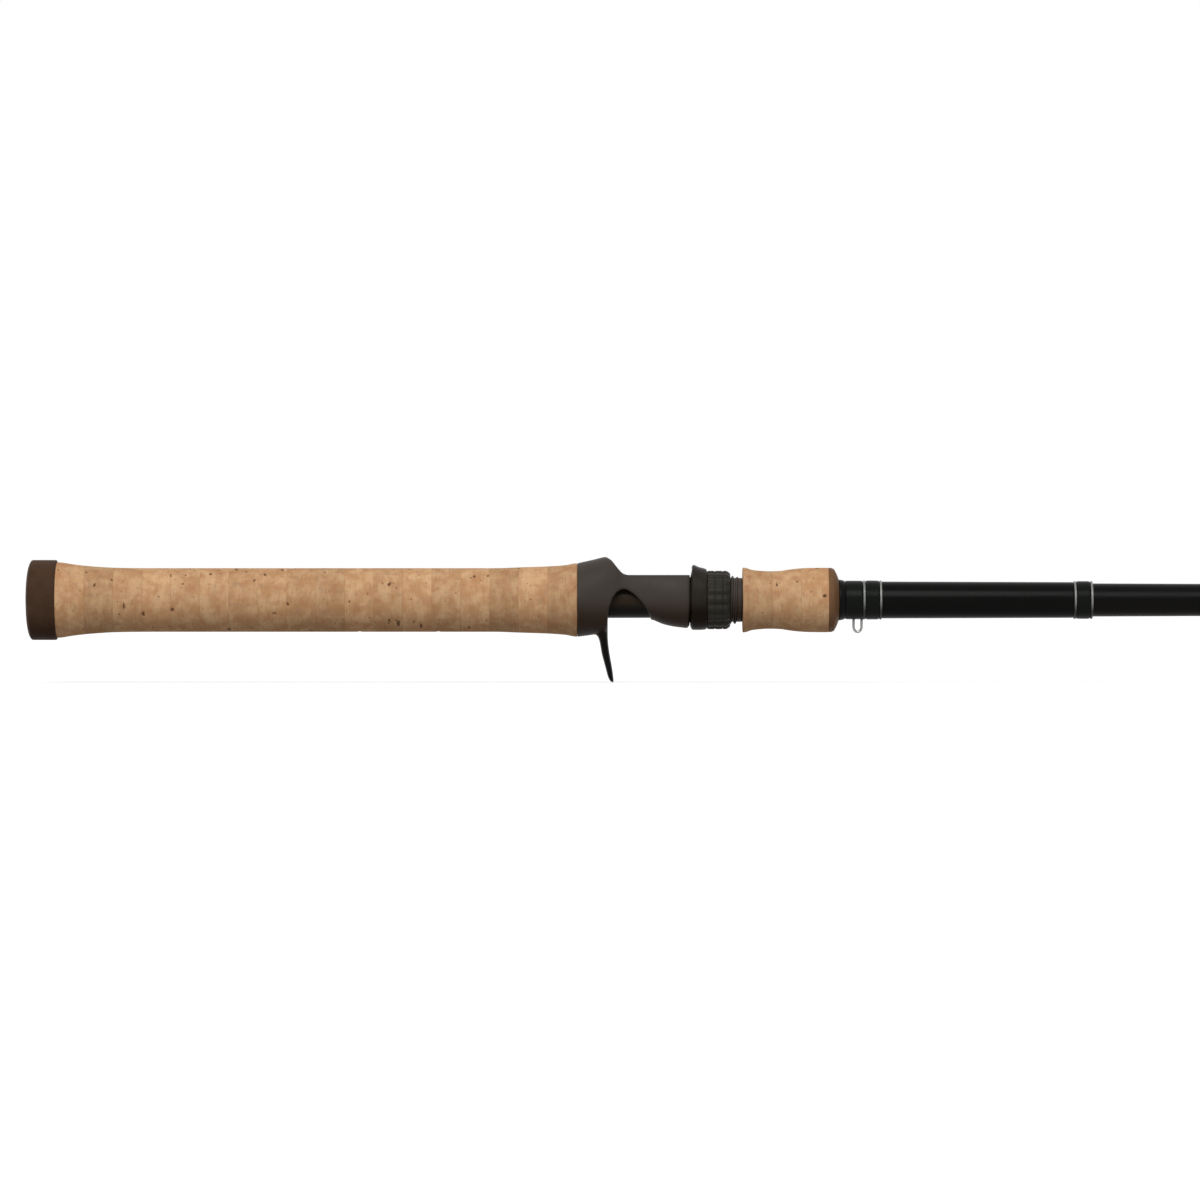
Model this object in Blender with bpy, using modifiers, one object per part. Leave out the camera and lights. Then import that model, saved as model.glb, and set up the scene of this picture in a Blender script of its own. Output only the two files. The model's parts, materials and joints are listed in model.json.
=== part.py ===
# Casting rod: a one-piece rod of about six feet with a cork handle, a trigger
# reel seat, thread wraps, seven line guides and a tip-top.
# Lengths are in metres. +X runs from the butt to the tip along the rod's axis,
# +Z points to the side that carries the reel and the guides, and the origin is
# the centre of the butt cap's flat end.

import math

import bmesh
import bpy
from mathutils import Matrix, Vector

MM = 0.001

# Clearances
GLUE_GAP = 0.15 * MM          # round the blank, where a piece is glued on it
SEAT_GAP = 0.3 * MM           # between pieces that meet end to end
RUN_GAP = 0.5 * MM            # round the threaded barrel
TURN_STEPS = 32               # sides of a turned piece of the handle
SMALL_STEPS = 22              # sides of a narrow band or sleeve
GUIDE_STEPS = 18              # sides of a guide's ring and wrap

# Blank
ROD_LENGTH = 1830 * MM
BLANK_BUTT_DIAMETER = 17.4 * MM
BLANK_HANDLE_DIAMETER = 14.6 * MM
BLANK_HANDLE_STATION = 470 * MM
BLANK_TIP_DIAMETER = 2.8 * MM
BLANK_BUTT_WALL = 1.7 * MM
BLANK_TIP_WALL = 0.8 * MM

# Butt cap and rear grip
CAP_LENGTH = 13.2 * MM
CAP_DIAMETER = 35.2 * MM
CAP_END_WALL = 4.0 * MM
CAP_EDGE_ROUND = 2.6 * MM
CORK_RING_LENGTH = 12.7 * MM
REAR_RING_COUNT = 18
REAR_GRIP_BUTT_DIAMETER = 33.4 * MM
REAR_GRIP_WAIST_DIAMETER = 28.0 * MM
REAR_GRIP_SEAT_DIAMETER = 32.4 * MM

# Reel seat body
SEAT_REAR_LENGTH = 13.4 * MM      # from the cork to the front wall under the hood
WINDOW_LENGTH = 19.2 * MM         # opening that leaves the blank bare
WINDOW_TOP = 4.8 * MM             # its highest point above the axis
WINDOW_SPRING = 3.0 * MM          # where its arch begins, above the body's lowest line
WINDOW_CREST = 0.37               # where it is highest, as a share of its length
WINDOW_SWEEP = 1.45               # 2 would be an ellipse, less is flatter
BODY_FRONT_LENGTH = 16.8 * MM     # from the opening to the threaded barrel
BODY_FLANGE = 2.4 * MM            # the body's front, beyond the barrel
BODY_PINCH = 1.5 * MM             # how much narrower it is at the opening
BODY_SHALLOW = 2.7 * MM           # how much less deep it is there
DECK_RISE = 0.8 * MM              # the flat under the reel's foot, above the barrel
DECK_STOCK = 4.0 * MM             # moulding above the deck that the scoop takes off
FOOT_ROOM = 4.75 * MM             # from the deck to the fixed hood's roof
HOOD_ROOF = 3.2 * MM
HOOD_LIP_SETBACK = 1.1 * MM       # the hood's lip behind the opening's rear wall
HOOD_SLOPE_LENGTH = 10.6 * MM     # from the hood's lip down to the deck
FOOT_POCKET_HALF_WIDTH = 8.4 * MM
FOOT_POCKET_DEPTH = 8.0 * MM
FOOT_POCKET_TAPER = 1.2 * MM      # how much narrower each side is at the blind end
BARREL_WALL = 1.22 * MM
BARREL_LENGTH = 23.3 * MM
BARREL_EDGE = 0.4 * MM
KEYWAY_WIDTH = 3.2 * MM
KEYWAY_DEPTH = 0.6 * MM
ARBOR_WALL = 0.7 * MM
ARBOR_SETBACK = 1.0 * MM

# Trigger
TRIGGER_DROP = 36.2 * MM          # its tip below the axis
TRIGGER_THICKNESS = 3.5 * MM
TRIGGER_WIDTH = 9.4 * MM
TRIGGER_LEAN = 3.0 * MM           # how far its tip lies ahead of its root
TRIGGER_SINK = 2.4 * MM           # its root inside the body's outer line
TRIGGER_SIDES = 16

# Movable hood and lock nut
SLIDE_HOOD_LENGTH = 7.3 * MM
SLIDE_HOOD_WALL = 2.5 * MM        # below and beside its bore
SLIDE_HOOD_ROOF = 1.1 * MM        # over its pocket
SLIDE_HOOD_SHOULDER = 0.8 * MM    # its front end above the nut
SLIDE_HOOD_EDGE = 0.6 * MM
SLIDE_POCKET_DEPTH = 5.8 * MM
SLIDE_POCKET_HEIGHT = 4.2 * MM    # above the barrel
SLIDE_POCKET_TAPER = 0.9 * MM     # how much lower and narrower its blind end is
NUT_LENGTH = 10.0 * MM
NUT_WALL = 2.3 * MM
NUT_FLUTES = 18
NUT_FLUTE_DEPTH = 0.55 * MM
NUT_EDGE = 1.0 * MM

# Fore grip and what closes it
FORE_RING_COUNT = 3
FORE_GRIP_END_DIAMETER = 28.4 * MM
FORE_GRIP_WAIST_DIAMETER = 25.3 * MM
END_RING_LENGTH = 3.6 * MM
CHECK_LENGTH = 2.5 * MM
CHECK_WALL = 1.4 * MM

# Wraps ahead of the handle
SLEEVE_CHAMFER = 0.6              # of a sleeve's wall
KEEPER_WRAP_LENGTH = 7.9 * MM
KEEPER_WRAP_WALL = 0.75 * MM
TRIM_WRAP_LENGTH = 6.3 * MM
TRIM_WRAP_WALL = 0.85 * MM
BAND_LENGTH = 0.7 * MM
BAND_WALL = 0.9 * MM
LABEL_COAT_LENGTH = 84.4 * MM
LABEL_COAT_WALL = 0.4 * MM
KEEPER_WIRE = 0.9 * MM
KEEPER_SPAN = 4.6 * MM
KEEPER_DROP = 7.0 * MM            # below the blank
KEEPER_FOOT = 2.6 * MM
KEEPER_BEND = 0.5 * MM
KEEPER_PLACE = 0.72               # its middle, as a share of the wrap's length

# Guides, from the butt to the tip: distance from the tip and ring size
GUIDE_STATIONS = [
    (1050 * MM, 12 * MM),
    (825 * MM, 10 * MM),
    (640 * MM, 8 * MM),
    (480 * MM, 8 * MM),
    (340 * MM, 8 * MM),
    (215 * MM, 8 * MM),
    (100 * MM, 8 * MM),
]
DOUBLE_FOOT_COUNT = 2
RING_WALL = 1.0 * MM
RING_WIDTH = 2.2 * MM
RING_FIT = 0.2 * MM
BAND_RIM = 0.9 * MM               # metal round a guide's ring
FRAME_THICKNESS = 1.0 * MM
FRAME_LEG_LENGTH = 4.6 * MM       # from the foot to the metal round the ring
FRAME_SPREAD = 38                 # degrees from straight down to where a leg meets the rim
STRUT_THICKNESS = 0.6 * MM
STRUT_REACH = 0.55                # a strut's foot behind the ring, as a share of the ring's height
STRUT_ROOT = 0.35 * MM            # a strut's foot above the bottom of the guide's foot
STRUT_BEND = 0.9 * MM             # how near the upright a strut turns to it
FOOT_HALF_WIDTH = 1.3 * MM
FOOT_THICKNESS = 0.9 * MM
FOOT_LENGTH = 12.0 * MM
FOOT_TIP_SHARE = 0.55             # a foot's end against its full width and thickness
FOOT_FULL_SHARE = 0.35            # how much of a foot has its full width
FOOT_WRAP_SETBACK = 1.6 * MM
FOOT_WRAP_LENGTH = 12.0 * MM
FOOT_WRAP_WALL = 0.5 * MM
TIP_TUBE_LENGTH = 12.0 * MM
TIP_TUBE_WALL = 0.5 * MM
TIP_TUBE_EDGE = 0.4 * MM
TIP_STRUT_PLACE = 3.0 * MM        # its foot from the tube's open end
TIP_STRUT_WIDTH = 1.6 * MM
TIP_FRAME_SINK = 0.3 * MM         # the upright's foot inside the tube's outer line
TIP_RING_SIZE = 8 * MM
TIP_WRAP_LENGTH = 5.0 * MM


def blank_radius(x):
    # The blank tapers slowly along the handle and faster from there to its tip.
    butt = BLANK_BUTT_DIAMETER / 2
    handle = BLANK_HANDLE_DIAMETER / 2
    tip = BLANK_TIP_DIAMETER / 2
    if x < BLANK_HANDLE_STATION:
        return butt + (handle - butt) * x / BLANK_HANDLE_STATION
    share = (x - BLANK_HANDLE_STATION) / (ROD_LENGTH - BLANK_HANDLE_STATION)
    return handle + (tip - handle) * share


def fit_radius(x):
    return blank_radius(x) + GLUE_GAP


# Stations along the rod that follow from the sizes above
REAR_GRIP_START = CAP_LENGTH
REAR_GRIP_END = REAR_GRIP_START + REAR_RING_COUNT * CORK_RING_LENGTH
SEAT_START = REAR_GRIP_END + SEAT_GAP
WINDOW_START = SEAT_START + SEAT_REAR_LENGTH
WINDOW_END = WINDOW_START + WINDOW_LENGTH
BARREL_START = WINDOW_END + BODY_FRONT_LENGTH
BARREL_END = BARREL_START + BARREL_LENGTH
HOOD_LIP = WINDOW_START - HOOD_LIP_SETBACK
SLIDE_HOOD_START = BARREL_START + SEAT_GAP
NUT_START = SLIDE_HOOD_START + SLIDE_HOOD_LENGTH + SEAT_GAP
FORE_GRIP_START = BARREL_END + SEAT_GAP
FORE_GRIP_END = FORE_GRIP_START + FORE_RING_COUNT * CORK_RING_LENGTH
END_RING_START = FORE_GRIP_END + GLUE_GAP
CHECK_START = END_RING_START + END_RING_LENGTH + GLUE_GAP
KEEPER_WRAP_START = CHECK_START + CHECK_LENGTH + GLUE_GAP
TIP_TUBE_START = ROD_LENGTH - TIP_TUBE_LENGTH

# Radii and heights from the axis that follow, from the blank outwards
REAR_GRIP_SEAT_RADIUS = REAR_GRIP_SEAT_DIAMETER / 2
SEAT_BORE_RADIUS = fit_radius(SEAT_START) + ARBOR_WALL + GLUE_GAP
BARREL_RADIUS = SEAT_BORE_RADIUS + BARREL_WALL
BODY_FRONT_RADIUS = BARREL_RADIUS + BODY_FLANGE
DECK_HEIGHT = BARREL_RADIUS + DECK_RISE
HOOD_HEIGHT = DECK_HEIGHT + FOOT_ROOM + HOOD_ROOF
HOOD_BORE_RADIUS = BARREL_RADIUS + RUN_GAP
SLIDE_HOOD_HEIGHT = BARREL_RADIUS + SLIDE_POCKET_HEIGHT + SLIDE_HOOD_ROOF
SLIDE_HOOD_RADIUS = HOOD_BORE_RADIUS + SLIDE_HOOD_WALL
NUT_RADIUS = HOOD_BORE_RADIUS + NUT_WALL


def clear_scene():
    for item in list(bpy.data.objects):
        bpy.data.objects.remove(item)


def new_collection(name):
    collection = bpy.data.collections.new(name)
    bpy.context.scene.collection.children.link(collection)
    return collection


def make_material(name, color, roughness, metallic=0.0):
    material = bpy.data.materials.new(name)
    material.use_nodes = True
    shader = material.node_tree.nodes["Principled BSDF"]
    shader.inputs["Base Color"].default_value = (*color, 1.0)
    shader.inputs["Roughness"].default_value = roughness
    shader.inputs["Metallic"].default_value = metallic
    material.diffuse_color = (*color, 1.0)
    return material


def between(start, end, share):
    return start + (end - start) * share


def add_object(name, mesh, collection, material=None):
    obj = bpy.data.objects.new(name, mesh)
    collection.objects.link(obj)
    if material:
        mesh.materials.append(material)
    return obj


def mesh_from_bmesh(name, bm):
    bmesh.ops.recalc_face_normals(bm, faces=bm.faces)
    mesh = bpy.data.meshes.new(name)
    bm.to_mesh(mesh)
    bm.free()
    return mesh


def turned(name, outline, collection, material=None, steps=TURN_STEPS, place=(0, 0, 0)):
    # The outline lists (x, radius) along the outside from butt to tip and back
    # along the bore. It is turned about local Z, which is then laid along X.
    points = [(radius, 0.0, x) for x, radius in reversed(outline)]
    edges = [(i, (i + 1) % len(points)) for i in range(len(points))]
    if min(radius for _, radius in outline) <= 0.0:
        edges.pop()
    mesh = bpy.data.meshes.new(name)
    mesh.from_pydata(points, edges, [])
    obj = add_object(name, mesh, collection, material)
    obj.rotation_euler = (0.0, math.pi / 2, 0.0)
    obj.location = place
    screw = obj.modifiers.new("Turn", "SCREW")
    screw.axis = "Z"
    screw.steps = steps
    screw.render_steps = steps
    screw.use_merge_vertices = True
    screw.merge_threshold = 0.00001
    return obj


def loft(name, sections, collection, material=None, closed=False):
    # Joins cross-sections of equal point count. A closed loft comes back to its
    # first section, as a ring does, and an open one gets a cap at each end.
    bm = bmesh.new()
    rows = [[bm.verts.new(point) for point in section] for section in sections]
    pairs = list(zip(rows, rows[1:]))
    if closed:
        pairs.append((rows[-1], rows[0]))
    count = len(rows[0])
    for row, following in pairs:
        for i in range(count):
            j = (i + 1) % count
            bm.faces.new((row[i], row[j], following[j], following[i]))
    if not closed:
        bm.faces.new(rows[0])
        bm.faces.new(rows[-1])
    return add_object(name, mesh_from_bmesh(name, bm), collection, material)


def egg_section(x, top, bottom, half_width, power=2.0, count=TURN_STEPS):
    # A rounded section across the rod, with its own height above and below.
    points = []
    for i in range(count):
        angle = math.tau * i / count
        side = math.copysign(abs(math.cos(angle)) ** (2 / power), math.cos(angle))
        rise = math.copysign(abs(math.sin(angle)) ** (2 / power), math.sin(angle))
        points.append(Vector((x, half_width * side, rise * (top if rise > 0 else bottom))))
    return points


def arch_section(x, floor, height, half_width, power=3.0, steps=8):
    # A flat floor under a rounded roof: the space for the end of a reel's foot.
    points = []
    for i in range(steps + 1):
        angle = math.pi * i / steps
        side = math.copysign(abs(math.cos(angle)) ** (2 / power), math.cos(angle))
        points.append(Vector((x, half_width * side, floor + height * math.sin(angle) ** (2 / power))))
    return points


def side_prism(name, outline, half_width, collection):
    # A side view outline of (x, z) points, drawn out across the rod.
    bm = bmesh.new()
    face = bm.faces.new([bm.verts.new((x, -half_width, z)) for x, z in outline])
    drawn = bmesh.ops.extrude_face_region(bm, geom=[face])
    moved = [item for item in drawn["geom"] if isinstance(item, bmesh.types.BMVert)]
    bmesh.ops.translate(bm, verts=moved, vec=(0.0, 2 * half_width, 0.0))
    return add_object(name, mesh_from_bmesh(name, bm), collection)


def boolean(target, tool, operation):
    step = target.modifiers.new(operation.title(), "BOOLEAN")
    step.operation = operation
    step.solver = "EXACT"
    step.object = tool
    tool.hide_render = True
    tool.display_type = "WIRE"


def frozen(source, name, collection, material=None):
    # The mesh that a curve makes, welded, so that it can be cut or joined.
    depsgraph = bpy.context.evaluated_depsgraph_get()
    mesh = bpy.data.meshes.new_from_object(source.evaluated_get(depsgraph))
    bm = bmesh.new()
    bm.from_mesh(mesh)
    bmesh.ops.remove_doubles(bm, verts=bm.verts, dist=0.00001)
    bmesh.ops.recalc_face_normals(bm, faces=bm.faces)
    bm.to_mesh(mesh)
    bm.free()
    mesh.materials.clear()
    place = source.matrix_world.copy()
    bpy.data.objects.remove(source)
    obj = add_object(name, mesh, collection, material)
    obj.matrix_world = place
    return obj


def wire(name, points, radius, collection, material):
    curve = bpy.data.curves.new(name, "CURVE")
    curve.dimensions = "3D"
    curve.bevel_depth = radius
    curve.bevel_resolution = 2
    curve.render_resolution_u = 0
    curve.use_fill_caps = True
    spline = curve.splines.new("POLY")
    spline.points.add(len(points) - 1)
    for place, point in zip(spline.points, points):
        place.co = (*point, 1.0)
    obj = bpy.data.objects.new(name, curve)
    collection.objects.link(obj)
    bpy.context.view_layer.update()
    return frozen(obj, name, collection, material)


def sleeve(name, start, length, wall, collection, material):
    # A sleeve round the blank, following its taper, with chamfered ends.
    end = start + length
    edge = SLEEVE_CHAMFER * wall
    outline = [
        (start, fit_radius(start) + wall - edge),
        (start + edge, fit_radius(start) + wall),
        (end - edge, fit_radius(end) + wall),
        (end, fit_radius(end) + wall - edge),
        (end, fit_radius(end)),
        (start, fit_radius(start)),
    ]
    return turned(name, outline, collection, material, steps=SMALL_STEPS)


def band(name, start, length, wall, collection, material):
    # A square-edged ring or coat round the blank.
    end = start + length
    outline = [
        (start, fit_radius(start) + wall),
        (end, fit_radius(end) + wall),
        (end, fit_radius(end)),
        (start, fit_radius(start)),
    ]
    return turned(name, outline, collection, material, steps=SMALL_STEPS)


def make_blank(parts):
    start = CAP_END_WALL + SEAT_GAP
    end = ROD_LENGTH - TIP_TUBE_WALL - SEAT_GAP
    handle = BLANK_HANDLE_STATION
    outline = [(x, blank_radius(x)) for x in (start, handle, end)]
    outline.append((end, blank_radius(end) - BLANK_TIP_WALL))
    outline.append((handle, blank_radius(handle) - BLANK_BUTT_WALL))
    outline.append((start, blank_radius(start) - BLANK_BUTT_WALL))
    graphite = make_material("blank_gloss_black", (0.012, 0.012, 0.012), 0.12)
    turned("blank", outline, parts, graphite)


def make_butt_cap(parts):
    radius = CAP_DIAMETER / 2
    end = CAP_LENGTH - SEAT_GAP
    outline = [(0.0, 0.0), (0.0, radius - CAP_EDGE_ROUND)]
    for i in range(1, 4):
        angle = math.pi / 2 * i / 3
        outline.append((
            CAP_EDGE_ROUND * (1 - math.cos(angle)),
            radius - CAP_EDGE_ROUND * (1 - math.sin(angle)),
        ))
    outline.append((end, radius))
    outline.append((end, fit_radius(end)))
    outline.append((CAP_END_WALL, fit_radius(CAP_END_WALL)))
    outline.append((CAP_END_WALL, 0.0))
    rubber = make_material("cap_brown_black", (0.055, 0.032, 0.02), 0.5)
    turned("butt_cap", outline, parts, rubber)


def grip_outline(start, end, shares):
    # Shares are (part of the length, radius) along the outside.
    outline = [(between(start, end, share), radius) for share, radius in shares]
    return outline + [(end, fit_radius(end)), (start, fit_radius(start))]


def make_rear_grip(parts):
    butt = REAR_GRIP_BUTT_DIAMETER / 2
    waist = REAR_GRIP_WAIST_DIAMETER / 2
    # Share of the grip's length, and of the way from its waist to that end.
    butt_rows = [
        (0.0, 1.0), (0.012, 0.9), (0.026, 0.7), (0.048, 0.46),
        (0.074, 0.26), (0.12, 0.05), (0.18, 0.0),
    ]
    seat_rows = [(0.84, 0.0), (0.893, 0.18), (0.94, 0.34), (0.978, 0.62), (0.994, 0.93), (1.0, 0.98)]
    shares = [(along, between(waist, butt, swell)) for along, swell in butt_rows]
    shares += [(along, between(waist, REAR_GRIP_SEAT_RADIUS, swell)) for along, swell in seat_rows]
    cork = make_material("cork_rear", (0.52, 0.33, 0.17), 0.85)
    turned("rear_grip", grip_outline(REAR_GRIP_START, REAR_GRIP_END, shares), parts, cork)


def make_fore_grip(parts):
    end_radius = FORE_GRIP_END_DIAMETER / 2
    waist = FORE_GRIP_WAIST_DIAMETER / 2

    # Share of the grip's length, and of the way from its waist to its front end.
    rows = [
        (0.0, 1.05), (0.035, 0.98), (0.1, 0.45), (0.2, 0.14), (0.31, 0.0),
        (0.44, 0.1), (0.54, 0.46), (0.63, 0.72), (0.77, 0.94), (1.0, 1.0),
    ]
    shares = [(along, between(waist, end_radius, swell)) for along, swell in rows]
    cork = make_material("cork_fore", (0.52, 0.33, 0.17), 0.85)
    turned("fore_grip", grip_outline(FORE_GRIP_START, FORE_GRIP_END, shares), parts, cork)


def make_grip_end(parts):
    start = END_RING_START
    end = start + END_RING_LENGTH
    outer = FORE_GRIP_END_DIAMETER / 2
    inner = fit_radius(end) + CHECK_WALL
    shares = [(0.0, 0.0), (0.35, 0.08), (0.7, 0.42), (1.0, 1.0)]
    outline = [(between(start, end, along), between(outer, inner, fall)) for along, fall in shares]
    outline += [(end, fit_radius(end)), (start, fit_radius(start))]
    ring = make_material("end_ring_black", (0.03, 0.022, 0.018), 0.4)
    turned("grip_end_ring", outline, parts, ring)
    check = make_material("winding_check_black", (0.02, 0.02, 0.02), 0.3)
    sleeve("winding_check", CHECK_START, CHECK_LENGTH, CHECK_WALL, parts, check)


def seat_sections():
    # Stations along the seat: distance, height above, depth below, half width,
    # squareness. The rear end meets the cork in a circle, and from there the
    # body rises to the hood and draws in to the opening, then fills out again.
    cork = REAR_GRIP_SEAT_RADIUS
    body = BODY_FRONT_RADIUS
    shallow = body - BODY_SHALLOW
    narrow = body - BODY_PINCH
    neck = DECK_HEIGHT + DECK_STOCK
    rear_rows = [
        (between(SEAT_START, HOOD_LIP, 0.0), 0.0, 0.0, 0.0, 2.0),
        (between(SEAT_START, HOOD_LIP, 0.33), 0.31, 0.08, 0.1, 2.15),
        (between(SEAT_START, HOOD_LIP, 0.65), 0.65, 0.17, 0.23, 2.5),
        (HOOD_LIP, 1.0, 0.27, 0.37, 3.0),
        (HOOD_LIP + 0.4 * HOOD_SLOPE_LENGTH, 1.0, 0.46, 0.49, 3.0),
    ]
    front_rows = [
        (HOOD_LIP + 0.75 * HOOD_SLOPE_LENGTH, 0.76, 0.7, 3.0),
        (HOOD_LIP + 1.1 * HOOD_SLOPE_LENGTH, 0.95, 0.96, 2.5),
        (WINDOW_END - 0.18 * WINDOW_LENGTH, 0.98, 1.0, 2.3),
    ]
    body_rows = [(0.1, 0.0, 0.13), (0.32, 0.41, 0.47), (0.6, 0.78, 0.8), (0.82, 0.96, 1.0), (1.0, 1.0, 1.0)]
    sections = []
    for x, rise, fall, pinch, square in rear_rows:
        top = between(cork, HOOD_HEIGHT, rise)
        sections.append((x, top, between(cork, shallow, fall), between(cork, narrow, pinch), square))
    for x, fall, pinch, square in front_rows:
        sections.append((x, neck, between(cork, shallow, fall), between(cork, narrow, pinch), square))
    for along, deepen, widen in body_rows:
        x = between(WINDOW_END, BARREL_START, along)
        sections.append((x, neck, between(shallow, body, deepen), between(narrow, body, widen), 2.2))
    return sections


def make_trigger(tools):
    # The root spreads into the body, and the blade thins and leans to its tip.
    root = REAR_GRIP_SEAT_RADIUS - TRIGGER_SINK
    half = TRIGGER_THICKNESS / 2
    drop = TRIGGER_DROP - root
    # Shares of the drop, the half thickness, the width and the lean.
    stations = [
        (-0.12, 2.3, 1.1, 0.0),
        (0.0, 2.1, 1.08, 0.0),
        (0.06, 1.5, 1.02, 0.0),
        (0.14, 1.15, 0.98, 0.02),
        (0.26, 1.02, 0.94, 0.1),
        (0.42, 0.98, 0.92, 0.28),
        (0.58, 0.9, 0.9, 0.52),
        (0.74, 0.8, 0.86, 0.76),
        (0.88, 0.68, 0.78, 0.92),
        (0.96, 0.5, 0.6, 0.99),
        (1.0, 0.22, 0.34, 1.0),
    ]
    sections = []
    for fall, thick, wide, lean in stations:
        middle = WINDOW_START - half * thick + TRIGGER_LEAN * lean
        # The blade's front edge runs straight down before it leans.
        depth = -(root + drop * fall)
        section = []
        for i in range(TRIGGER_SIDES):
            angle = math.tau * i / TRIGGER_SIDES
            along = math.copysign(abs(math.cos(angle)) ** 0.8, math.cos(angle))
            across = math.copysign(abs(math.sin(angle)) ** 0.8, math.sin(angle))
            section.append(Vector((
                middle + half * thick * along,
                TRIGGER_WIDTH / 2 * wide * across,
                depth,
            )))
        sections.append(section)
    return loft("trigger_blade", sections, tools)


def window_outline():
    # Side view of the opening under the deck. It rises steeply behind, from
    # the trigger, and falls in a longer sweep to the front of the body.
    floor = WINDOW_SPRING - BODY_FRONT_RADIUS
    middle = between(WINDOW_START, WINDOW_END, WINDOW_CREST)
    points = [(WINDOW_START, -2 * TRIGGER_DROP)]
    steps = 7
    for i in range(steps + 1):
        angle = math.pi / 2 * i / steps
        points.append((
            between(middle, WINDOW_START, math.cos(angle)),
            between(floor, WINDOW_TOP, math.sin(angle)),
        ))
    for i in range(1, steps + 1):
        angle = math.pi / 2 * i / steps
        points.append((
            between(middle, WINDOW_END, math.sin(angle) ** (2 / WINDOW_SWEEP)),
            between(floor, WINDOW_TOP, math.cos(angle) ** (2 / WINDOW_SWEEP)),
        ))
    points.append((WINDOW_END, -2 * TRIGGER_DROP))
    return points


def scoop_outline():
    # Side view of what is cut away above the deck, ahead of the hood's lip.
    over = 2 * HOOD_HEIGHT
    # Shares of the slope's length and of the hood's height above the deck.
    shares = [(0.0, 1.0), (0.25, 0.78), (0.38, 0.56), (0.52, 0.36), (0.66, 0.2), (0.82, 0.06), (1.0, 0.0)]
    points = [(HOOD_LIP, over)]
    for along, left in shares:
        points.append((HOOD_LIP + HOOD_SLOPE_LENGTH * along, between(DECK_HEIGHT, HOOD_HEIGHT, left)))
    points += [(BARREL_START + SEAT_GAP, DECK_HEIGHT), (BARREL_START + SEAT_GAP, over)]
    return points


def make_reel_seat(parts, tools):
    plastic = make_material("seat_charcoal", (0.065, 0.058, 0.05), 0.45)
    body = loft("reel_seat_body", [egg_section(*section) for section in seat_sections()], parts, plastic)

    across = 2 * REAR_GRIP_SEAT_RADIUS
    boolean(body, side_prism("window_cut", window_outline(), across, tools), "DIFFERENCE")
    boolean(body, side_prism("deck_cut", scoop_outline(), across, tools), "DIFFERENCE")

    wide = FOOT_POCKET_HALF_WIDTH
    pocket_sections = [
        arch_section(HOOD_LIP - FOOT_POCKET_DEPTH, DECK_HEIGHT, 0.62 * FOOT_ROOM, wide - FOOT_POCKET_TAPER),
        arch_section(HOOD_LIP, DECK_HEIGHT, FOOT_ROOM, wide),
        arch_section(HOOD_LIP + HOOD_SLOPE_LENGTH, DECK_HEIGHT, FOOT_ROOM, wide + FOOT_POCKET_TAPER / 3),
    ]
    boolean(body, loft("foot_pocket_cut", pocket_sections, tools), "DIFFERENCE")

    boolean(body, make_trigger(tools), "UNION")

    barrel_root = BARREL_START - 0.5 * BODY_FRONT_LENGTH
    barrel = turned("barrel_tool", [
        (barrel_root, 0.0),
        (barrel_root, BARREL_RADIUS),
        (BARREL_END - BARREL_EDGE, BARREL_RADIUS),
        (BARREL_END, BARREL_RADIUS - BARREL_EDGE),
        (BARREL_END, 0.0),
    ], tools)
    boolean(body, barrel, "UNION")

    # The arbors fill this straight bore out to the tapering blank.
    reach = 2 * SEAT_GAP
    bore_cut = turned("seat_bore_cut", [
        (SEAT_START - reach, 0.0),
        (SEAT_START - reach, SEAT_BORE_RADIUS),
        (BARREL_END + reach, SEAT_BORE_RADIUS),
        (BARREL_END + reach, 0.0),
    ], tools)
    boolean(body, bore_cut, "DIFFERENCE")

    half_key = KEYWAY_WIDTH / 2
    keyway = side_prism("keyway_cut", [
        (BARREL_START, -(BARREL_RADIUS - KEYWAY_DEPTH)),
        (BARREL_END + reach, -(BARREL_RADIUS - KEYWAY_DEPTH)),
        (BARREL_END + reach, -(BARREL_RADIUS + KEYWAY_DEPTH)),
        (BARREL_START, -(BARREL_RADIUS + KEYWAY_DEPTH)),
    ], half_key, tools)
    boolean(body, keyway, "DIFFERENCE")


def make_arbors(parts):
    fibre = make_material("arbor_fibre", (0.62, 0.58, 0.5), 0.9)
    outer = SEAT_BORE_RADIUS - GLUE_GAP
    spans = [
        ("rear_arbor", SEAT_START + ARBOR_SETBACK, WINDOW_START - ARBOR_SETBACK),
        ("front_arbor", WINDOW_END + ARBOR_SETBACK, BARREL_END - ARBOR_SETBACK),
    ]
    for name, start, end in spans:
        outline = [(start, outer), (end, outer), (end, fit_radius(end)), (start, fit_radius(start))]
        turned(name, outline, parts, fibre, steps=SMALL_STEPS)


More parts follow.
